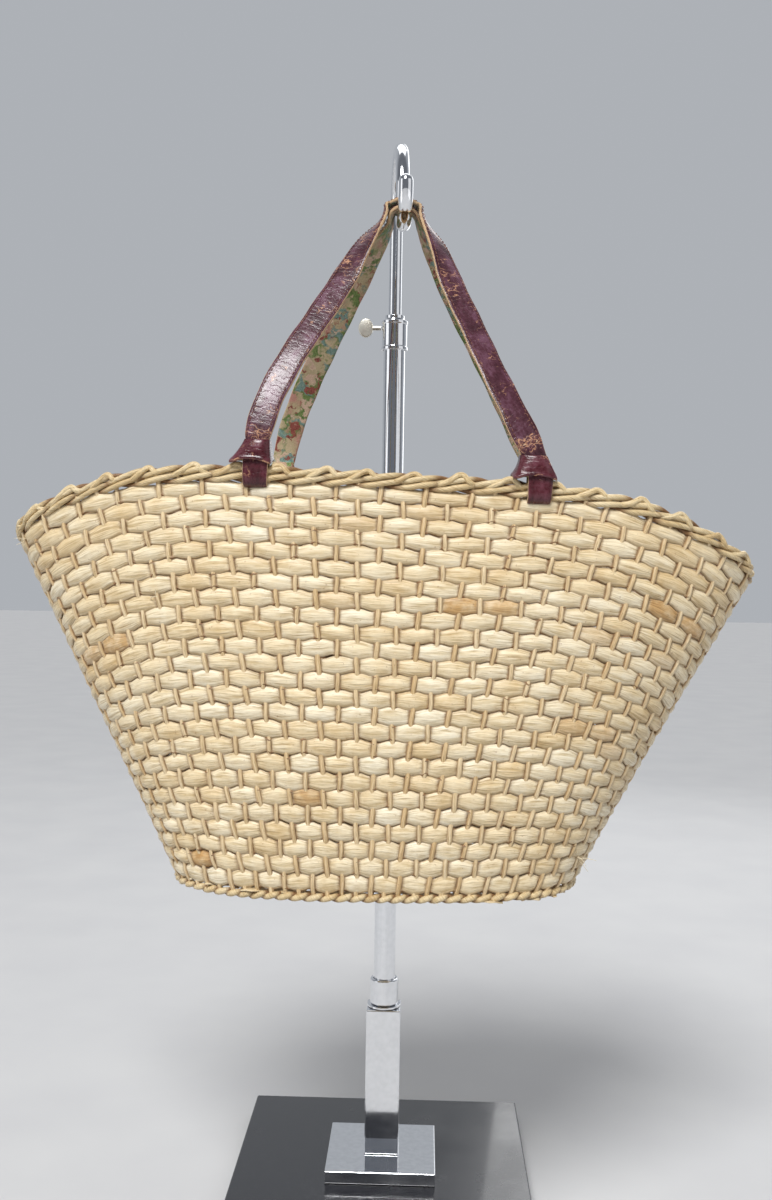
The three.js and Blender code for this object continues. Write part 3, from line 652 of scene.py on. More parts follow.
def add_strips(name, first, last, finish, *nodes):
    """The flat woven strips of some rows."""
    template = ring_template(STAKES * STRIP_STEPS, STRIP_SIDES)
    share, angle = ring_places(template)
    rows = range(first, last)
    mesh = copies(template, len(rows), name)
    places, tones, edges, stains, grains = [], [], [], [], []
    for row in rows:
        dice = np.random.RandomState(100 + row)
        phase = share * STAKES + row
        off = 1 - np.abs((phase + 1) % 2 - 1)
        over = np.sin(math.pi / 2 * (1 - off)) ** 2
        swing = -1 + 1.5 * eased((1 - off) / STRIP_CLIMB) + 0.5 * over
        shown = eased((swing + 0.6) / 0.8)
        brick = np.floor((share * STAKES - (row + 1) % 2) / 2 + 0.5).astype(int) % (STAKES // 2)
        inner = np.floor((share * STAKES - row % 2) / 2 + 0.5).astype(int) % (STAKES // 2)

        def brick_value(low, high):
            return (dice.uniform(low, high, STAKES // 2)[brick] * shown
                    + dice.uniform(low, high, STAKES // 2)[inner] * (1 - shown))

        across = np.sin(angle)
        through = np.cos(angle)
        across = np.sign(across) * np.abs(across) ** 0.8
        shape = STRIP_WAIST + STRIP_BULGE * (0.75 * over + 0.25 * np.sin(math.pi / 2 * (1 - off)))
        shape = shape + np.maximum(STRIP_BACK - shape, 0) * eased(0.1 - 1.5 * through)
        width = ROW_HEIGHT[row] / 2 * shape * brick_value(0.96, 1.07)
        local = (phase % 2) - 1
        lean = brick_value(-0.8, 0.8) / WALL_HEIGHT
        level = (ROW_LEVEL[row] + across * width + lean * local
                 + wander(share, 9, 300 + row) * 0.4 / WALL_HEIGHT)
        fold = 0.2 * np.sin(across * brick_value(3.0, 7.5) + brick_value(0, TAU) + 0.9 * local)
        fold = fold * (1 - across ** 4) * shown
        half = STRIP_THICKNESS / 2
        dome = STRIP_CURL * across ** 2 * brick_value(0.7, 1.25)
        proud = (STRIP_SWING * swing * brick_value(0.9, 1.12)
                 + through * half + fold * np.sign(through) - swing * dome)
        places.append(on_wall(level, share, proud))
        tones.append(np.clip(0.42 + 0.22 * wander(share, 7, 500 + row) + brick_value(-0.24, 0.3), 0, 1))
        # Painted shade, stored as the edge paint: the strip's edges darken, the lower edge more than the
        # upper as if lit from above; the whole inner face is painted dark so the gaps between strips look
        # shaded; the ends darken where they dive beside a stake.
        groove_shade = np.clip((np.abs(across) - 0.45) / 0.55, 0, 1) ** 2.4 * np.where(across < 0, 0.75, 0.22)
        groove_shade = np.where(through < -0.1, 1.0, groove_shade)
        beside = (1 - off) * sample(SPACING, level, share)[:, 0] - STAKE_HALF_WIDTH
        dive_shade = np.clip(1 - beside / 1.5, 0, 1) ** 1.5
        edges.append(np.clip(0.9 * groove_shade + 0.7 * dive_shade, 0, 1))
        stains.append(STAIN_CHART[row][brick] * shown)
        grains.append(np.stack([
            FIBRE_RING * np.cos(TAU * share),
            FIBRE_RING * np.sin(TAU * share),
            across * ROW_HEIGHT[row] * WALL_HEIGHT * 0.8 + row * 47 + 400 * (through < 0),
        ], axis=-1))
    return add_straw(name, mesh, places, finish, *nodes,
                     tone=tones, edge=edges, stain=stains, grain=grains)


def add_stakes(name, finish):
    """The round stakes that the strips are woven over, from the floor's edge up to the rim."""
    template = rod_template(ROWS * 4 + 3, 8)
    x, y, z = coordinates(template).T
    mesh = copies(template, STAKES, name)
    places, tones, grains = [], [], []
    top = 1 + 3.0 / WALL_HEIGHT
    for stake in range(STAKES):
        dice = np.random.RandomState(900 + stake)
        level = 0.004 + z * (top - 0.004)
        count = row_count(level)
        swing = STAKE_SWING * np.cos(math.pi * (stake + count))
        thick = dice.uniform(0.9, 1.12)
        drift = (dice.uniform(-0.5, 0.5) * np.sin(TAU * (z * dice.uniform(0.7, 1.6) + dice.rand()))
                 + 0.35 * np.sin(math.pi * count + dice.uniform(-0.6, 0.6)))
        share = np.full(z.shape, stake / STAKES)
        along = sample(ALONGS, level, share)
        side = (x * STAKE_HALF_WIDTH * thick + drift)[:, None] * along
        places.append(on_wall(level, share, swing - y * STAKE_HALF_DEPTH * thick) + side)
        tones.append(np.full(z.shape, dice.uniform(0.35, 1.0)))
        grains.append(np.stack([x * 3.2, y * 3.2 + stake * 9, z * 30], axis=-1))
    # Painted shade: both sides of each round stake are darkened as if turned away from the light, stored as
    # the edge paint.
    edges = [0.75 * np.clip((np.abs(x) - 0.6) / 0.4, 0, 1)] * STAKES
    return add_straw(name, mesh, places, finish, tone=tones, edge=edges, grain=grains)


# Twined cords of the rim and the base's edge, each of two strands that wind round each other

RIM_CORD_LOWER = 2.3
RIM_CORD_UPPER = 6.5
RIM_STRAND_RADIUS = 1.7
TWINING_TURNS = 24
TWINING_HOLD = 0.2
BASE_STRAND_RADIUS = 1.9


def add_twined_cord(name, finish, level, proud, lift, strand, swing_out, swing_up, turns, seed, *nodes):
    """Two strands that wind round each other and swing out and up, held off an edge of the basket."""
    template = ring_template(turns * 24, 8)
    share, angle = ring_places(template)
    mesh = copies(template, 2, name)
    places, tones, edges, grains = [], [], [], []
    for number in range(2):
        dice = np.random.RandomState(seed + number)
        wind = TAU * turns * share + math.pi * number + 0.5 * wander(share, 12, seed + 7)
        wind = wind - TWINING_HOLD * np.sin(wind)
        front = np.cos(wind)
        thick = strand * (1 + 0.16 * front + 0.08 * wander(share, 60, seed + 20 + number))
        out = proud + swing_out * front + thick * np.cos(angle)
        up = lift + swing_up * np.sin(wind) + thick * 0.95 * np.sin(angle)
        up = up + 0.35 * wander(share, 16, seed + 3)
        places.append(on_edge(np.full(share.shape, level), share, out, up))
        tones.append(np.clip(0.55 + 0.3 * wander(share, 40, seed + 30 + number)
                             + dice.uniform(-0.1, 0.1), 0, 1))
        # Painted shade: each strand darkens where it turns behind the other, stored as the edge paint.
        edges.append(np.clip(0.75 - 1.3 * front, 0, 0.95))
        grains.append(np.stack([
            4 * np.cos(angle + 3 * wind), 4 * np.sin(angle + 3 * wind),
            60 * np.abs(share - 0.5) + 90 * number,
        ], axis=-1))
    return add_straw(name, mesh, places, finish, *nodes, tone=tones, edge=edges, grain=grains)


# One picot loop: along counts stake spacings from the loop's middle, rise and proud millimetres
LOOP_ROUTE = (
    # along, rise, proud
    (-1.00, 3.6, -0.6),
    (-0.82, 4.2, 1.4),
    (-0.62, 5.2, 2.4),
    (-0.43, 6.7, 2.6),
    (-0.26, 8.3, 2.2),
    (-0.10, 9.7, 1.7),
    (0.07, 10.0, 1.3),
    (0.21, 8.9, 1.6),
    (0.31, 7.2, 2.0),
    (0.46, 5.5, 1.4),
    (0.70, 4.4, -1.4),
)
LOOP_RADIUS = 1.75


def smooth_route(points, count):
    """Evenly read points of a smooth curve through the given ones."""
    points = np.array(points, dtype=float)
    padded = np.vstack([2 * points[0] - points[1], points, 2 * points[-1] - points[-2]])
    t = np.linspace(0, len(points) - 1.0001, count)
    i = t.astype(int)
    f = (t - i)[:, None]
    p0, p1, p2, p3 = padded[i], padded[i + 1], padded[i + 2], padded[i + 3]
    return 0.5 * (2 * p1 + (p2 - p0) * f + (2 * p0 - 5 * p1 + 4 * p2 - p3) * f ** 2
                  + (3 * p1 - p0 - 3 * p2 + p3) * f ** 3)


def tube_points(template, line, radius, up=(0.0, 0.0, 1.0)):
    """Vertices of a rod template carried along a line; radius may differ along it."""
    x, y, z = coordinates(template).T
    count = len(line) - 1
    at = np.clip(np.rint(z * count).astype(int), 0, count)
    tangent = unit(np.gradient(line, axis=0))
    side = unit(np.cross(np.broadcast_to(np.array(up), tangent.shape), tangent) + 1e-9)
    lift = np.cross(tangent, side)
    size = np.broadcast_to(radius, (count + 1,))[at]
    return line[at] + side[at] * (x * size)[:, None] + lift[at] * (y * size)[:, None]


def add_loops(name, finish):
    """Small loops that rise over the rim's cords, one for every two stakes."""
    steps = 30
    template = rod_template(steps - 1, 8)
    count = STAKES // 2
    mesh = copies(template, count, name)
    route = smooth_route(LOOP_ROUTE, steps + 1)
    places, tones, grains = [], [], []
    for loop in range(count):
        dice = np.random.RandomState(1500 + loop)
        middle = (loop + 0.75 + dice.uniform(-0.06, 0.06)) / count
        tall = dice.uniform(0.8, 1.1)
        wide = dice.uniform(0.85, 1.2)
        share = middle + route[:, 0] * wide / STAKES + dice.uniform(-0.08, 0.08) / STAKES
        rise = np.where(route[:, 1] > 6, 6 + (route[:, 1] - 6) * tall, route[:, 1])
        line = on_edge(np.ones(len(route)), share, route[:, 2] + dice.uniform(-0.3, 0.3), rise)
        out = sample(NORMALS, np.ones(1), np.array([middle]))[0]
        points = tube_points(template, line, LOOP_RADIUS * dice.uniform(0.9, 1.1), up=tuple(out))
        places.append(points)
        tones.append(np.full(len(points), dice.uniform(0.3, 0.9)))
        x, y, z = coordinates(template).T
        grains.append(np.stack([x * 3 + loop * 7, y * 3, z * 9], axis=-1))
    return add_straw(name, mesh, places, finish, tone=tones, grain=grains)


# Floor: flat strips along the basket woven over the stakes that run on across it

FLOOR_STRIPS = 13
FLOOR_HEIGHT = 1.9
FLOOR_STAKES = 23


def floor_half_length(y):
    """Half the floor's length at a place across it."""
    part = np.minimum(1, np.abs(y) / BASE_HALF_DEPTH) ** ROUNDNESS_BASE
    return BASE_HALF_LENGTH * (1 - part) ** (1 / ROUNDNESS_BASE)


def floor_half_depth(x):
    part = np.minimum(1, np.abs(x) / BASE_HALF_LENGTH) ** ROUNDNESS_BASE
    return BASE_HALF_DEPTH * (1 - part) ** (1 / ROUNDNESS_BASE)


def floor_points(x, y, rise):
    return np.stack([x, y, FLOOR_HEIGHT + rise], axis=-1)


def add_floor(strip_finish, stake_finish):
    """The floor's own weave, under and over in turn."""
    pitch = 2 * (BASE_HALF_DEPTH - 3) / FLOOR_STRIPS
    gauge = 2 * (BASE_HALF_LENGTH - 14) / (FLOOR_STAKES - 1)
    template = rod_template(FLOOR_STAKES * 6, 12)
    x, y, z = coordinates(template).T
    mesh = copies(template, FLOOR_STRIPS, "floor_strips")
    places, tones, grains = [], [], []
    for strip in range(FLOOR_STRIPS):
        dice = np.random.RandomState(2000 + strip)
        middle = (strip - (FLOOR_STRIPS - 1) / 2) * pitch
        half = floor_half_length(middle) - 1.5
        along = (z * 2 - 1) * half
        over = np.cos(math.pi * (along / gauge + strip + (FLOOR_STAKES - 1) / 2))
        width = pitch / 2 * (1.02 + STRIP_BULGE * over)
        rise = (1.0 * np.tanh(1.5 * over) + y * STRIP_THICKNESS / 2 - 0.4 * over * x ** 2)
        places.append(floor_points(along, middle + x * width, np.clip(rise, -1.7, 2.4)))
        tones.append(0.5 + 0.4 * np.sin(along / 23 + dice.uniform(0, 6)))
        grains.append(np.stack([along * 0.08, y * 0.4 + strip * 13, x * pitch * 1.9], axis=-1))
    add_straw("floor_strips", mesh, places, strip_finish, tone=tones, grain=grains)

    template = rod_template(FLOOR_STRIPS * 5, 8)
    x, y, z = coordinates(template).T
    mesh = copies(template, FLOOR_STAKES, "floor_stakes")
    places, tones, grains = [], [], []
    for stake in range(FLOOR_STAKES):
        middle = (stake - (FLOOR_STAKES - 1) / 2) * gauge
        half = floor_half_depth(middle) - 1.5
        deep = (z * 2 - 1) * half
        over = np.cos(math.pi * (deep / pitch + stake + (FLOOR_STRIPS - 1) / 2))
        rise = -0.5 * over + y * STAKE_HALF_DEPTH
        places.append(floor_points(middle - x * STAKE_HALF_WIDTH, deep, np.clip(rise, -1.7, 2.4)))
        tones.append(np.full(z.shape, 0.4 + 0.5 * (stake % 3) / 2))
        grains.append(np.stack([x * 3.2, y * 3.2 + stake * 9, z * 14], axis=-1))
    add_straw("floor_stakes", mesh, places, stake_finish, tone=tones, grain=grains)


# Frayed fibres: where each starts on the wall, where it points and how long it is

FRAYS = (
    # x, z, out across, out down, length
    (127, 27, 0.8, -0.1, 9), (128, 25, 0.9, 0.5, 8), (129, 24, 0.6, -0.6, 7), (126, 29, 0.5, 0.8, 6),
    (-234, 203, -0.9, 0.4, 7), (-235, 201, -0.7, -0.5, 6), (-233, 199, -0.8, -0.1, 8),
    (38, 2, 0.3, -0.9, 4), (-141, 184, 0.6, 0.6, 6), (-139, 186, 0.4, 0.9, 5),
)


FRAY_RADIUS = 0.38


def add_frays(finish):
    steps = 8
    template = rod_template(steps - 1, 5)
    mesh = copies(template, len(FRAYS), "frayed_fibres")
    places, tones, grains = [], [], []
    for number, (x, z, across, up, length) in enumerate(FRAYS):
        dice = np.random.RandomState(2500 + number)
        front = np.linspace(0.5, 1.0, 400)
        level = np.full(front.shape, np.clip(z / WALL_HEIGHT, 0.01, 0.99))
        if abs(x) > 180:
            level = np.full(front.shape, 0.985)
        spots = on_wall(level, front, np.zeros(front.shape))
        start = spots[int(np.abs(spots[:, 0] - x).argmin())]
        aim = np.array([across, -0.55, up])
        bend = dice.uniform(-0.5, 0.5, 3)
        t = np.linspace(0, 1, steps + 1)[:, None]
        line = start + np.array([0, -2.0, 0]) + aim * length * t + bend * length * t ** 2
        points = tube_points(template, line, FRAY_RADIUS * (1 - 0.75 * t[:, 0]))
        places.append(points)
        tones.append(np.zeros(len(points)))
        grains.append(points)
    add_straw("frayed_fibres", mesh, places, finish, tone=tones, grain=grains)


# Handles: the same route as the model's, with leather, lining and stitches

LEFT_ATTACH = 79
RIGHT_ATTACH = 91
REAR_LEFT_ATTACH = 81
REAR_RIGHT_ATTACH = 109
SLEEVE_HEIGHT = 12
SLEEVE_WALL = 1.4
SLEEVE_LIFT = 13.5
STRAP_TUCK = 3
RIM_CORD_WIDTH = 6.2
RIM_CORD_HEIGHT = 4.1
SEAT_GAP = 0.3
CROWN_WRAP = 48

fold_radius = RIM_CORD_WIDTH / 2 + LEATHER_GAP + STRAP_THICKNESS / 2
fold_centre = RIM_CORD_HEIGHT / 2
leg_gap = STRAP_THICKNESS + LEATHER_GAP
sleeve_foot_out = fold_radius * 0.62
sleeve_head_out = fold_radius * 0.4
sleeve_head = SLEEVE_LIFT + SLEEVE_HEIGHT

ATTACHMENTS = {
    # side: x by face, lean
    "left": ({"front": -LEFT_ATTACH, "rear": -REAR_LEFT_ATTACH}, 0.04),
    "right": ({"front": RIGHT_ATTACH, "rear": REAR_RIGHT_ATTACH}, -0.36),
}

# Knots of a strap's legs: rise, across, depth, twist, inside
LEG_ROWS = {
    ("front", "left"): (
        (0.13, 0.065, 0.06, 0.0, 0.0),
        (0.3, 0.21, 0.2, 0.0, 0.0),
        (0.47, 0.385, 0.4, 0.0, 0.1),
        (0.64, 0.555, 0.61, 0.06, 0.5),
        (0.81, 0.7, 0.81, 0.45, 1.0),
        (0.925, 0.835, 0.95, 0.9, 1.0),
    ),
    ("front", "right"): (
        (0.13, 0.13, 0.06, 0.14, 0.0),
        (0.3, 0.3, 0.2, 0.18, 0.0),
        (0.47, 0.45, 0.4, 0.2, 0.1),
        (0.64, 0.6, 0.61, 0.24, 0.5),
        (0.81, 0.72, 0.81, 0.55, 1.0),
        (0.925, 0.84, 0.95, 0.92, 1.0),
    ),
    ("rear", "left"): (
        (0.13, 0.06, 0.06, 0.0, 0.0),
        (0.3, 0.195, 0.2, 0.0, 0.0),
        (0.47, 0.36, 0.4, 0.02, 0.1),
        (0.64, 0.52, 0.61, 0.12, 0.5),
        (0.81, 0.69, 0.81, 0.55, 1.0),
        (0.925, 0.835, 0.95, 0.92, 1.0),
    ),
    ("rear", "right"): (
        (0.13, 0.12, 0.06, 0.1, 0.0),
        (0.3, 0.275, 0.2, 0.14, 0.0),
        (0.47, 0.44, 0.4, 0.18, 0.1),
        (0.64, 0.595, 0.61, 0.24, 0.5),
        (0.81, 0.735, 0.81, 0.55, 1.0),
        (0.925, 0.85, 0.95, 0.92, 1.0),
    ),
}


def attach_frame(x, face):
    """Foot, outward and along directions of the rim where a strap is fixed."""
    share = np.linspace(0.5, 1.0, 4001)
    line = on_edge(np.ones(share.shape), share, np.zeros(share.shape), np.zeros(share.shape))
    front = share[int(np.abs(line[:, 0] - x).argmin())]
    spot = np.array([front if face == "front" else 1 - front])
    foot = on_edge(np.ones(1), spot, np.zeros(1), np.zeros(1))[0]
    outward = sample(NORMALS, np.ones(1), spot)[0]
    outward[2] = 0
    outward = unit(outward)
    along = np.array([1.0, 0, 0]) - outward * outward[0]
    return foot, outward, unit(along)


def attach_point(hold, lean, out, up):
    foot, outward, along = hold
    leaning = lean * max(0, up - SLEEVE_LIFT)
    return foot + outward * out + along * leaning + np.array([0, 0, up])


def fold_leg(side):
    step = 0 if side > 0 else leg_gap
    return [
        (side * fold_radius, fold_centre + STRAP_TUCK),
        (side * fold_radius, SLEEVE_LIFT - SEAT_GAP),
        (sleeve_foot_out - step, SLEEVE_LIFT + SLEEVE_HEIGHT / 3),
        (sleeve_head_out - step, sleeve_head - STRAP_TUCK),
    ]


def folded_end(hold, lean):
    fold = []
    for i in range(6):
        turn = math.pi * (1 + i / 5)
        fold.append((fold_radius * math.cos(turn), fold_centre + fold_radius * math.sin(turn)))
    places = fold_leg(-1)[::-1] + fold + fold_leg(1) + [(sleeve_head_out, sleeve_head + STRAP_TUCK)]
    return [(attach_point(hold, lean, out, up), hold[2]) for out, up in places]


def leg_knots(rows, start, crown, forward, stack):
    spots = []
    for rise, across, depth, _, _ in rows:
        spots.append(np.array([
            start[0] + (crown[0] - start[0]) * across,
            start[1] + (crown[1] - start[1]) * depth,
            start[2] + (crown[2] + stack - start[2]) * rise,
        ]))
    knots = []
    for i, (_, _, _, twist, inside) in enumerate(rows):
        before = start if i == 0 else spots[i - 1]
        after = crown if i == len(rows) - 1 else spots[i + 1]
        inward = unit(np.array([after[2] - before[2], 0, before[0] - after[0]]))
        inward = inward * np.sign(inward[0] * (crown[0] - start[0])) * stack * inside
        turn = twist * math.pi / 2
        knots.append((spots[i] + inward, np.array([math.cos(turn), forward * math.sin(turn), 0])))
    return knots


def handle_knots(face):
    forward = -1 if face == "front" else 1
    height = front_crown if face == "front" else rear_crown
    crown = world_to_bag((hook_across, -hook_forward, height))
    stack = front_crown - height
    ends = [folded_end(attach_frame(x[face], face), lean) for x, lean in ATTACHMENTS.values()]
    left = leg_knots(LEG_ROWS[face, "left"], ends[0][-1][0], crown, forward, stack)
    right = leg_knots(LEG_ROWS[face, "right"], ends[1][-1][0], crown, -forward, stack)
    bend = height - cup_bottom
    wraps = []
    for turn in np.radians([-CROWN_WRAP, 0, CROWN_WRAP]):
        spot = crown + np.array([bend * math.sin(turn), 0, -bend * (1 - math.cos(turn))])
        wraps.append((spot, np.array([0.0, forward, 0])))
    back = [(point, -width) for point, width in right[::-1]]
    last = [(point, -width) for point, width in ends[1][::-1]]
    return ends[0] + left + wraps + back + last


def centripetal(points, per_span):
    """Smooth line through points, the same curve as the model's straps follow."""
    points = np.array(points)
    first = 2 * points[0] - points[1]
    last = 2 * points[-1] - points[-2]
    padded = np.vstack([first, points, last])
    line = []
    for i in range(len(points) - 1):
        p0, p1, p2, p3 = padded[i:i + 4]
        d0, d1, d2 = (max(np.linalg.norm(b - a), 1e-4) ** 0.5 for a, b in ((p0, p1), (p1, p2), (p2, p3)))
        t1 = ((p1 - p0) / d0 - (p2 - p0) / (d0 + d1) + (p2 - p1) / d1) * d1
        t2 = ((p2 - p1) / d1 - (p3 - p1) / (d1 + d2) + (p3 - p2) / d2) * d1
        last_span = i == len(points) - 2
        for f in np.linspace(0, 1, per_span + 1)[: per_span + (1 if last_span else 0)]:
            line.append(p1 + t1 * f + (-3 * p1 + 3 * p2 - 2 * t1 - t2) * f ** 2
                        + (2 * p1 - 2 * p2 + t1 + t2) * f ** 3)
    return np.array(line)


STRAP_SPAN_STEPS = 14


def strap_frames(face):
    """Line, width and normal directions of a strap, with its running length."""
    knots = handle_knots(face)
    line = centripetal([point for point, _ in knots], STRAP_SPAN_STEPS)
    widths = smooth_route([width for _, width in knots], len(line))
    tangent = unit(np.gradient(line, axis=0))
    widths = unit(widths - tangent * (widths * tangent).sum(axis=1, keepdims=True))
    normal = np.cross(tangent, widths)
    run = np.concatenate([[0], np.cumsum(np.linalg.norm(np.diff(line, axis=0), axis=1))])
    return line, widths, normal, run


# Worn stretches of a leg: side, the way up from the sleeve to the hook, reach, how worn
WORN = (
    ("left", 0.02, 0.02, 0.66), ("left", 0.66, 0.06, 0.28), ("left", 0.84, 0.07, 0.45),
    ("right", 0.022, 0.02, 0.68), ("right", 0.6, 0.1, 0.2), ("right", 0.88, 0.07, 0.36),
)


def strap_wear(face, line, run):
    """How worn each point of a strap's line is, most above the sleeves and towards the hook."""
    crown = int(line[:, 2].argmax())
    head = WALL_HEIGHT + sleeve_head
    climbs = np.flatnonzero(line[:, 2] > head)
    wear = np.where(line[:, 2] > head, 0.04, 0.0)
    for side, middle, reach, amount in WORN:
        base = climbs[0] if side == "left" else climbs[-1]
        way = (run - run[base]) / (run[crown] - run[base])
        near = np.exp(-((way - middle) / reach) ** 2) * (way < 1.0)
        wear = np.maximum(wear, amount * near)
    return wear


def strap_taper(line, run):
    """The strap's width as a share: drawn in where a sleeve binds it, a little less in the tab."""
    climbs = np.flatnonzero(line[:, 2] > WALL_HEIGHT + sleeve_head)
    inside = np.minimum(run - run[climbs[0]], run[climbs[-1]] - run)
    return np.interp(inside, (-50, -24, -14, -1, 4, 12), (0.8, 0.88, 0.88, 0.86, 0.95, 1.0))


def add_strap(face, finishes):
    """A creased leather strap with its lining, raw edges and folded ends."""
    line, width, normal, run = strap_frames(face)
    hand = 1 if face == "front" else -1
    count = len(line) - 1
    template = rod_template(count - 1, 28)
    x, y, z = coordinates(template).T
    at = np.clip(np.rint(z * count).astype(int), 0, count)
    dice = np.random.RandomState(3000 if face == "front" else 3001)
    angle = np.arctan2(y, x)
    across = np.sign(np.cos(angle)) * np.abs(np.cos(angle)) ** 0.32
    through = np.sign(np.sin(angle)) * np.abs(np.sin(angle)) ** 0.32
    caps = np.hypot(x, y) < 0.5
    across[caps], through[caps] = 0, 0
    wear = strap_wear(face, line, run)
    length = run[at]
    creases = np.zeros(len(z))
    for _ in range(44):
        spot = dice.uniform(0.14, 0.86) * run[-1]
        reach = dice.uniform(0.5, 1.3)
        depth = dice.uniform(0.08, 0.26)
        tilt = dice.uniform(-2.5, 2.5)
        shown = np.clip(0.5 + dice.uniform(-1.5, 1.5) * across, 0.1, 1)
        creases += depth * shown * np.exp(-((length - spot - tilt * across) / reach) ** 2)
    buckle = 0.13 * np.sin(length * 0.9 + 2.5 * np.sin(length * 0.13) + 1.5 * across) * (0.3 + wear[at])
    pillow = 0.3 * (1 - across ** 4)
    outer = np.where(through * hand < 0, 1.0, 0.0)
    lift = outer * (pillow - creases + buckle - 0.25)
    narrow = strap_taper(line, run)[at]
    half_width = (STRAP_WIDTH / 2 - 0.2 + 0.22 * np.sin(length * 0.21 + dice.uniform(0, 6))) * narrow
    side = width[at] * (across * half_width)[:, None]
    depth = normal[at] * (through * STRAP_THICKNESS / 2 - hand * lift)[:, None]
    mesh = copies(template, 1, f"strap_{face}")
    place(mesh, bag_to_world(line[at] + side + depth))
    grain = np.stack([length, across * STRAP_WIDTH / 2, through * 4 + 50 * (face == "rear")], axis=-1)
    paint(mesh, "grain", grain)
    paint(mesh, "wear", wear[at])
    add_piece(f"strap_{face}", mesh, finishes, "leather", f"handle_{face}")
    for polygon in mesh.polygons:
        deep = hand * through[list(polygon.vertices)].mean()
        bound = line[at[polygon.vertices[0]], 2] < WALL_HEIGHT + SLEEVE_LIFT + 2
        polygon.material_index = 1 if abs(deep) < 0.8 else ((3 if bound else 0) if deep < 0 else 2)


STITCH_LENGTH = 2.1
STITCH_PITCH = 3.0
STITCH_INSET = 2.2


def add_stitches(finish):
    """Two rows of stitches along each strap between its sleeves."""
    template = rod_template(4, 6)
    x, y, z = coordinates(template).T
    places = []
    for face in ("front", "rear"):
        line, width, normal, run = strap_frames(face)
        hand = 1 if face == "front" else -1
        climbs = np.flatnonzero(line[:, 2] > WALL_HEIGHT + sleeve_head)
        start, stop = run[climbs[0]] + 2, run[climbs[-1]] - 4
        for edge in (-1, 1):
            for first in np.arange(start, stop, STITCH_PITCH):
                at = np.interp(first + z * STITCH_LENGTH, run, np.arange(len(run)))
                i = np.minimum(at.astype(int), len(run) - 2)
                f = (at - i)[:, None]
                middle = line[i] * (1 - f) + line[i + 1] * f
                bow = 0.34 * np.sin(math.pi * z) - 0.2
                out = STRAP_THICKNESS / 2 + 0.1 + bow + 0.26 * -y
                aside = edge * (STRAP_WIDTH / 2 - STITCH_INSET) + 0.28 * x
                places.append(middle + width[i] * aside[:, None] - hand * normal[i] * out[:, None])
    mesh = copies(template, len(places), "strap_stitches")
    place(mesh, bag_to_world(np.stack(places)))
    add_piece("strap_stitches", mesh, [finish], "leather")


# Rings of a sleeve, from its bore's foot round the rolled hem, up the outside and down the bore
SLEEVE_ROWS = (
    # height, foot, wall, flare
    (0.0, 1.0, 0.0, 0.5),
    (-0.05, 1.0, 0.5, 0.9),
    (-0.07, 1.0, 1.0, 1.0),
    (-0.02, 1.0, 1.35, 1.04),
    (0.05, 1.0, 1.4, 1.02),
    (0.10, 1.0, 1.1, 0.93),
    (0.14, 0.98, 0.9, 0.86),
    (0.27, 0.9, 0.85, 0.66),
    (0.5, 0.62, 0.8, 0.38),
    (0.75, 0.28, 0.7, 0.16),
    (0.9, 0.05, 0.65, 0.08),
    (0.97, 0.0, 0.4, 0.04),
    (0.95, 0.0, 0.1, 0.0),
    (0.8, 0.3, 0.0, 0.0),
    (0.4, 0.75, 0.0, 0.1),
    (0.2, 0.9, 0.0, 0.3),
)
SLEEVE_SQUARENESS = 0.3
SLEEVE_PINCH = 7.6
SLEEVE_SPREAD = 5.2
SLEEVE_LEAN = 0.6
HEM_DROP = 3.4


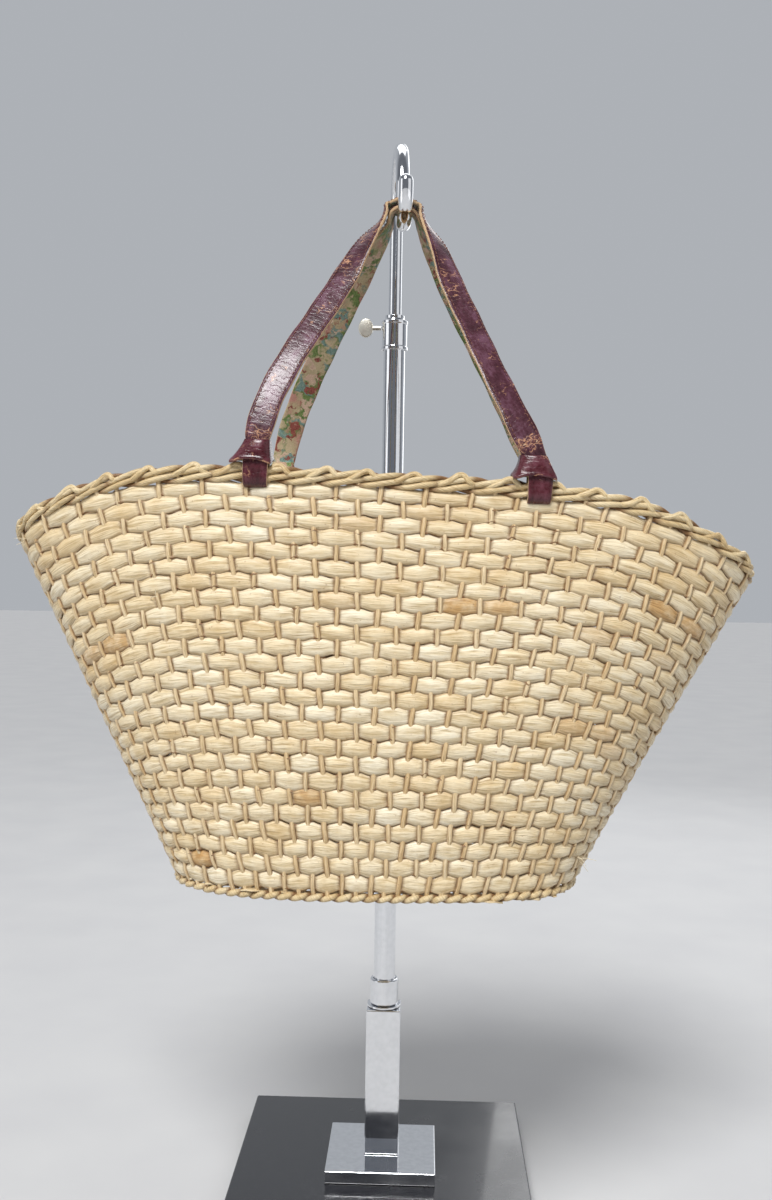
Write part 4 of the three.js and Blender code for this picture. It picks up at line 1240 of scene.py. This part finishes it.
def add_sleeve(face, side, finishes):
    """Flared leather sleeve with an arched, rolled hem, wrapped round the strap's folded end."""
    places, lean = ATTACHMENTS[side]
    foot, outward, along = attach_frame(places[face], face)
    head_depth = STRAP_THICKNESS + leg_gap / 2 + LEATHER_GAP
    foot_depth = fold_radius + STRAP_THICKNESS / 2 + LEATHER_GAP
    inner = SLEEVE_PINCH * math.hypot(1, lean)
    head_middle = sleeve_head_out - leg_gap / 2
    rounds = 72
    rings = len(SLEEVE_ROWS)
    template = ring_template(rounds, rings)
    share, angle = ring_places(template)
    ring = np.rint((angle % TAU) / TAU * rings).astype(int) % rings
    rows = np.array(SLEEVE_ROWS)[ring]
    hand = 1 if face == "rear" else -1
    turn = hand * TAU * share
    across = np.sign(np.cos(turn)) * np.abs(np.cos(turn)) ** SLEEVE_SQUARENESS
    deep = np.sign(np.sin(turn)) * np.abs(np.sin(turn)) ** SLEEVE_SQUARENESS
    front = np.clip(deep, 0, 1)
    near_foot = np.clip(1 - rows[:, 0] / 0.6, 0, 1)
    drop = HEM_DROP * across ** 2 * front * near_foot
    ridge = 1.5 * front * np.clip(0.35 - np.maximum(np.abs(across - 0.1) - 0.35, 0), -1, 0.35) / 0.35
    up = SLEEVE_LIFT + rows[:, 0] * SLEEVE_HEIGHT - drop
    depth = head_depth + (foot_depth - head_depth) * rows[:, 1] + rows[:, 2] * SLEEVE_WALL
    width = inner + rows[:, 3] * SLEEVE_SPREAD
    aside = -SLEEVE_LEAN * rows[:, 3] * SLEEVE_SPREAD
    middle = head_middle * (1 - rows[:, 1])
    leaning = lean * np.maximum(0, up - SLEEVE_LIFT)
    bulge = ridge * np.clip(rows[:, 2] * 1.5, 0, 1) * (1 - 0.8 * near_foot)
    points = (foot + outward * (middle + deep * depth + bulge)[:, None]
              + along * (across * width + aside + leaning)[:, None] + np.array([0, 0, 1.0]) * up[:, None])
    name = f"sleeve_{face}_{side}"
    mesh = copies(template, 1, name)
    place(mesh, bag_to_world(points))
    seed = 60 * ("front", "rear").index(face) + 25 * ("left", "right").index(side)
    paint(mesh, "grain", np.stack([up * 1.4 + seed, across * 9, deep * 6], axis=-1))
    hem = np.exp(-((rows[:, 0] + 0.04) / 0.08) ** 2)
    worn_side = np.clip(across - 0.1, 0, 1) * (side == "right")
    paint(mesh, "wear", np.clip(0.5 * hem + 0.42 * worn_side, 0, 0.8))
    bm = bmesh.new()
    bm.from_mesh(mesh)
    bmesh.ops.recalc_face_normals(bm, faces=bm.faces)
    bm.to_mesh(mesh)
    bm.free()
    piece = add_piece(name, mesh, finishes, "leather", f"handle_sleeve_{face}_{side}")
    for polygon in mesh.polygons:
        inside = deep[list(polygon.vertices)].mean() < -0.7
        polygon.material_index = 1 if inside else 0
    smooth = piece.modifiers.new("smooth", "SUBSURF")
    smooth.levels = smooth.render_levels = 1
    return piece


# Stand: every part is turned, bent or cut at the size of the node that it stands for

def corners(node):
    low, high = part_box(node)
    return np.array(low) / MM, np.array(high) / MM


def add_turned(name, section, finish, *nodes, centre=(0.0, 0.0)):
    """A turned part from its section of radius and height pairs."""
    bm = bmesh.new()
    spots = [bm.verts.new(((centre[0] + r) * MM, centre[1] * MM, h * MM)) for r, h in section]
    edges = [bm.edges.new(pair) for pair in zip(spots, spots[1:] + spots[:1])]
    bmesh.ops.spin(
        bm, geom=spots + edges, cent=(centre[0] * MM, centre[1] * MM, 0), axis=(0, 0, 1),
        angle=TAU, steps=64, use_merge=True,
    )
    bmesh.ops.remove_doubles(bm, verts=bm.verts, dist=1e-6)
    bmesh.ops.dissolve_degenerate(bm, edges=bm.edges, dist=1e-7)
    bmesh.ops.recalc_face_normals(bm, faces=bm.faces)
    piece = add_piece(name, finished(bm, name), [finish], "chrome", *nodes)
    soften(piece)
    return piece


def soften(piece, width=0.35, angle=28):
    """Small rounded edges that catch the light."""
    edge = piece.modifiers.new("edges", "BEVEL")
    edge.width = width * MM
    edge.segments = 3
    edge.limit_method = "ANGLE"
    edge.angle_limit = math.radians(angle)
    edge.harden_normals = True


def add_block(name, node, finish, slot, edge):
    """A square block of the node's size with rounded edges."""
    low, high = corners(node)
    bm = bmesh.new()
    bmesh.ops.create_cube(bm, size=1)
    bmesh.ops.scale(bm, verts=bm.verts, vec=Vector((high - low) * MM))
    bmesh.ops.translate(bm, verts=bm.verts, vec=Vector((high + low) / 2 * MM))
    bmesh.ops.bevel(
        bm, geom=bm.edges[:], offset=edge * MM, segments=3, profile=0.5, affect="EDGES", material=-1,
    )
    piece = add_piece(name, finished(bm, name), [finish], slot, node)
    shade = piece.modifiers.new("shade", "WEIGHTED_NORMAL")
    shade.keep_sharp = True
    return piece


def add_stand(chrome, board, nickel):
    add_block("board", "base_board", board, "board", 1.4)
    add_block("plate", "foot_plate", chrome, "chrome", 0.8)
    add_block("post", "square_post", chrome, "chrome", 0.9)
    for name, node in (("flange", "post_flange"), ("tube", "upright_tube")):
        low, high = corners(node)
        radius = (high[1] - low[1]) / 2
        section = [(0, low[2]), (radius, low[2]), (radius, high[2]), (0, high[2])]
        add_turned(name, section, chrome, node)

    low, high = corners("lower_collar")
    radius = (high[1] - low[1]) / 2
    bore = TUBE_DIAMETER / 2 + SEAT_GAP
    ease = 0.8
    add_turned("collar_low", [
        (bore, low[2]), (radius - ease, low[2]), (radius, low[2] + ease), (radius, high[2] - ease),
        (radius - ease, high[2]), (bore, high[2]),
    ], chrome, "lower_collar")

    low, high = corners("upper_collar")
    radius = (high[1] - low[1]) / 2
    neck = 14.4 / 2
    neck_height = 2.6
    chamfer = 1.6
    tube_top = corners("upright_tube")[1][2]
    rod_bore = rod_radius + SEAT_GAP
    shoulder = high[2] - neck_height
    add_turned("collar_high", [
        (bore, low[2]), (radius, low[2]), (radius, low[2] + 2.2), (radius - 0.5, low[2] + 2.7),
        (radius - 0.5, shoulder - chamfer - 2.4), (radius, shoulder - chamfer - 1.9),
        (radius, shoulder - chamfer), (neck, shoulder), (neck, high[2]),
        (rod_bore, high[2]), (rod_bore, tube_top + SEAT_GAP), (bore, tube_top + SEAT_GAP),
    ], chrome, "upper_collar")
    add_thumb_screw(nickel, chrome)
    add_hook(chrome)


def add_thumb_screw(nickel, chrome):
    """Short threaded stem with a flat oval head."""
    low, high = corners("thumb_screw")
    stem_length = 7
    stem_radius = 1.7
    head_length, head_width, head_thickness = 14, 11, 3.6
    middle = (low + high) / 2
    bm = bmesh.new()
    bmesh.ops.create_cone(
        bm, cap_ends=True, segments=24, radius1=stem_radius, radius2=stem_radius, depth=stem_length,
    )
    bmesh.ops.rotate(bm, verts=bm.verts, matrix=Matrix.Rotation(math.pi / 2, 3, "Y"))
    bmesh.ops.translate(bm, verts=bm.verts, vec=(high[0] - stem_length / 2, middle[1], middle[2]))
    stem = set(bm.verts)
    head_radius = head_length / 2
    bmesh.ops.create_cone(
        bm, cap_ends=True, segments=48, radius1=head_radius, radius2=head_radius, depth=head_thickness,
    )
    rims = [
        e for e in bm.edges
        if e.verts[0] not in stem and abs(e.verts[0].co.z - e.verts[1].co.z) < 0.01
    ]
    bmesh.ops.bevel(bm, geom=rims, offset=1.1, segments=4, profile=0.5, affect="EDGES", material=-1)
    head = [v for v in bm.verts if v not in stem]
    bmesh.ops.scale(bm, verts=head, vec=(head_width / head_length, 1, 1))
    bmesh.ops.rotate(bm, verts=head, matrix=Matrix.Rotation(math.pi / 2, 3, "X"))
    bmesh.ops.translate(bm, verts=head, vec=(low[0] + head_width / 2 + 0.3, middle[1], middle[2]))
    bmesh.ops.scale(bm, verts=bm.verts, vec=(MM, MM, MM))
    bmesh.ops.recalc_face_normals(bm, faces=bm.faces)
    piece = add_piece("thumb_screw_head", finished(bm, "thumb_screw_head"), [nickel], "chrome", "thumb_screw")
    soften(piece, 0.2, 40)


def add_hook(chrome):
    """The rod bent over an arch and up again in a cup, on one smooth line."""
    def arc(centre, radius, first, last, steps):
        turn = np.linspace(first, last, steps)
        return [(centre[0] + radius * math.cos(t), centre[1] + radius * math.sin(t)) for t in turn]

    side = [(0, h) for h in np.linspace(rod_bottom, arch_centre, 8)[:-1]]
    side += arc((arch_radius, arch_centre), arch_radius, math.pi, 0, 40)
    side += arc((hook_reach, cup_centre), cup_radius, math.pi, TAU, 30)
    tip = cup_centre + HOOK_TIP_RISE
    side += [(hook_reach + cup_radius, tip - 0.5)]
    dome = [math.sin(a) for a in np.linspace(0, math.pi / 2, 7)]
    side += [(hook_reach + cup_radius, tip + rod_radius * s) for s in dome]
    turn = math.radians(HOOK_TURN)
    line = np.array([(x * math.sin(turn), -x * math.cos(turn), z) for x, z in side])
    radius = np.full(len(line), rod_radius)
    radius[-7:] = [max(rod_radius * math.sqrt(max(0, 1 - s * s)), 0.05) for s in dome]
    template = rod_template(len(line) - 2, 32)
    axis = (math.cos(turn), math.sin(turn), 0.0)
    tangent = unit(np.gradient(line, axis=0))
    tangent[-7:] = (0, 0, 1)
    x, y, z = coordinates(template).T
    at = np.clip(np.rint(z * (len(line) - 1)).astype(int), 0, len(line) - 1)
    width = np.broadcast_to(np.array(axis), tangent.shape)
    lift = np.cross(tangent, width)
    points = line[at] + width[at] * (x * radius[at])[:, None] + lift[at] * (y * radius[at])[:, None]
    mesh = copies(template, 1, "hook")
    place(mesh, points)
    piece = add_piece("hook", mesh, [chrome], "chrome", "hook_rod")
    return piece


# Room: a pale floor, a wide soft light from the front and above, and soft lamps round the stand

def add_light(name, place_mm, aim_mm, size, power):
    light = bpy.data.lights.new(name, "AREA")
    light.shape = "RECTANGLE"
    light.size, light.size_y = size
    light.energy = power
    lamp = bpy.data.objects.new(name, light)
    lamp.location = Vector(place_mm) * MM
    lamp.rotation_euler = (Vector(aim_mm) - Vector(place_mm)).to_track_quat("-Z", "Y").to_euler()
    bpy.context.scene.collection.objects.link(lamp)


FLOOR_REACH = 12.0
SKY_POWER = 3.15
SKY_WAY = (0.16, 0.62, -0.77)
SKY_ANGLE = 24

# Soft lamps: name, place and aim in millimetres, width and height in metres, power
LAMPS = (
    ("key", (-300, -1450, 1850), (0, -110, 330), (1.0, 0.8), 6),
    ("fill", (1500, -900, 700), (0, -90, 380), (1.4, 1.8), 5),
    ("side", (-1500, -600, 700), (0, -90, 380), (0.8, 1.6), 4),
    ("top", (0, 500, 1700), (0, 100, 300), (1.0, 0.8), 3),
    ("rear", (600, 1400, 1100), (0, -90, 400), (1.0, 1.0), 5),
)


def add_room():
    bm = bmesh.new()
    bmesh.ops.create_grid(bm, x_segments=1, y_segments=1, size=FLOOR_REACH)
    mesh = finished(bm, "floor")
    floor = bpy.data.objects.new("floor", mesh)
    bpy.context.scene.collection.objects.link(floor)
    pale = Finish("pale_floor", Roughness=0.7)
    grain = pale.noise(pale.place(), 9, 3, 0.5)
    colour = pale.ramp(grain, (0.3, (0.49, 0.49, 0.495)), (0.7, (0.52, 0.52, 0.52)))
    mesh.materials.append(pale.wire(Base_Color=colour))

    world = bpy.data.worlds.new("studio")
    bpy.context.scene.world = world
    bpy.context.scene.view_settings.view_transform = "Standard"
    world.use_nodes = True
    nodes, links = world.node_tree.nodes, world.node_tree.links
    way = nodes.new("ShaderNodeSeparateXYZ")
    links.new(nodes.new("ShaderNodeTexCoord").outputs["Generated"], way.inputs[0])
    fade = nodes.new("ShaderNodeValToRGB")
    links.new(way.outputs["Y"], fade.inputs[0])
    fade.color_ramp.elements[0].position = 0.0
    fade.color_ramp.elements[0].color = (0.15, 0.16, 0.18, 1)
    fade.color_ramp.elements[1].position = 0.55
    fade.color_ramp.elements[1].color = (0.42, 0.44, 0.47, 1)
    links.new(fade.outputs[0], nodes["Background"].inputs["Color"])
    nodes["Background"].inputs["Strength"].default_value = 1.0

    sky = bpy.data.lights.new("sky", "SUN")
    sky.energy = SKY_POWER
    sky.angle = math.radians(SKY_ANGLE)
    sun = bpy.data.objects.new("sky", sky)
    sun.rotation_euler = Vector(SKY_WAY).to_track_quat("-Z", "Y").to_euler()
    bpy.context.scene.collection.objects.link(sun)
    for lamp in LAMPS:
        add_light(*lamp)


place_camera()
STAIN_CHART = stain_chart()

straw = straw_finish("husk_straw", tone(238, 228, 204), tone(230, 212, 176), tone(212, 182, 130))
stake_straw = straw_finish("stake_straw", tone(242, 226, 194), tone(234, 211, 170), tone(216, 184, 134))
cord_straw = straw_finish("cord_straw", tone(234, 218, 184), tone(224, 202, 158), tone(202, 170, 118))
# The strap leather's middle and palest tones are a lilac grey: partly the leather's own faded colour, partly
# a painted reflection of the bright sky on its glossy face, over the oxblood red that the sleeves show.
patent = patent_finish("patent_leather", tone(58, 28, 35), tone(75, 40, 50), tone(102, 67, 82), 0.22)
patent_dark = patent_finish("patent_sleeve", tone(54, 12, 18), tone(74, 25, 33), tone(98, 50, 60), 0.35)

add_strips("strips_low", 0, 9, straw, "basket_body")
add_strips("strips_middle", 9, 17, straw)
add_strips("strips_high", 17, ROWS, straw)
add_stakes("stakes", stake_straw)
add_floor(straw, stake_straw)
add_twined_cord("rim_twining_lower", cord_straw, 1.0, 0.0, RIM_CORD_LOWER, RIM_STRAND_RADIUS,
                1.9, 1.8, TWINING_TURNS, 41, "rim_cord_lower")
add_twined_cord("rim_twining_upper", cord_straw, 1.0, 0.0, RIM_CORD_UPPER, RIM_STRAND_RADIUS,
                1.9, 1.8, TWINING_TURNS, 57, "rim_cord_upper")
add_twined_cord("rim_twining_middle", cord_straw, 1.0, -1.6, 4.3, RIM_STRAND_RADIUS,
                0.9, 1.0, TWINING_TURNS, 65)
add_twined_cord("base_twining", cord_straw, 0.0, 0.6, 2.0, BASE_STRAND_RADIUS,
                1.3, 1.0, STAKES // 2, 73, "base_cord")
add_loops("picot_loops", cord_straw)
add_frays(straw)

raw_edge = raw_edge_finish()
lining = lining_finish()
for face in ("front", "rear"):
    add_strap(face, [patent, raw_edge, lining, patent_dark])
    for side in ATTACHMENTS:
        add_sleeve(face, side, [patent_dark, lining])
add_stitches(thread_finish())
add_stand(chrome_finish(), board_finish(), pearl_finish())
add_room()
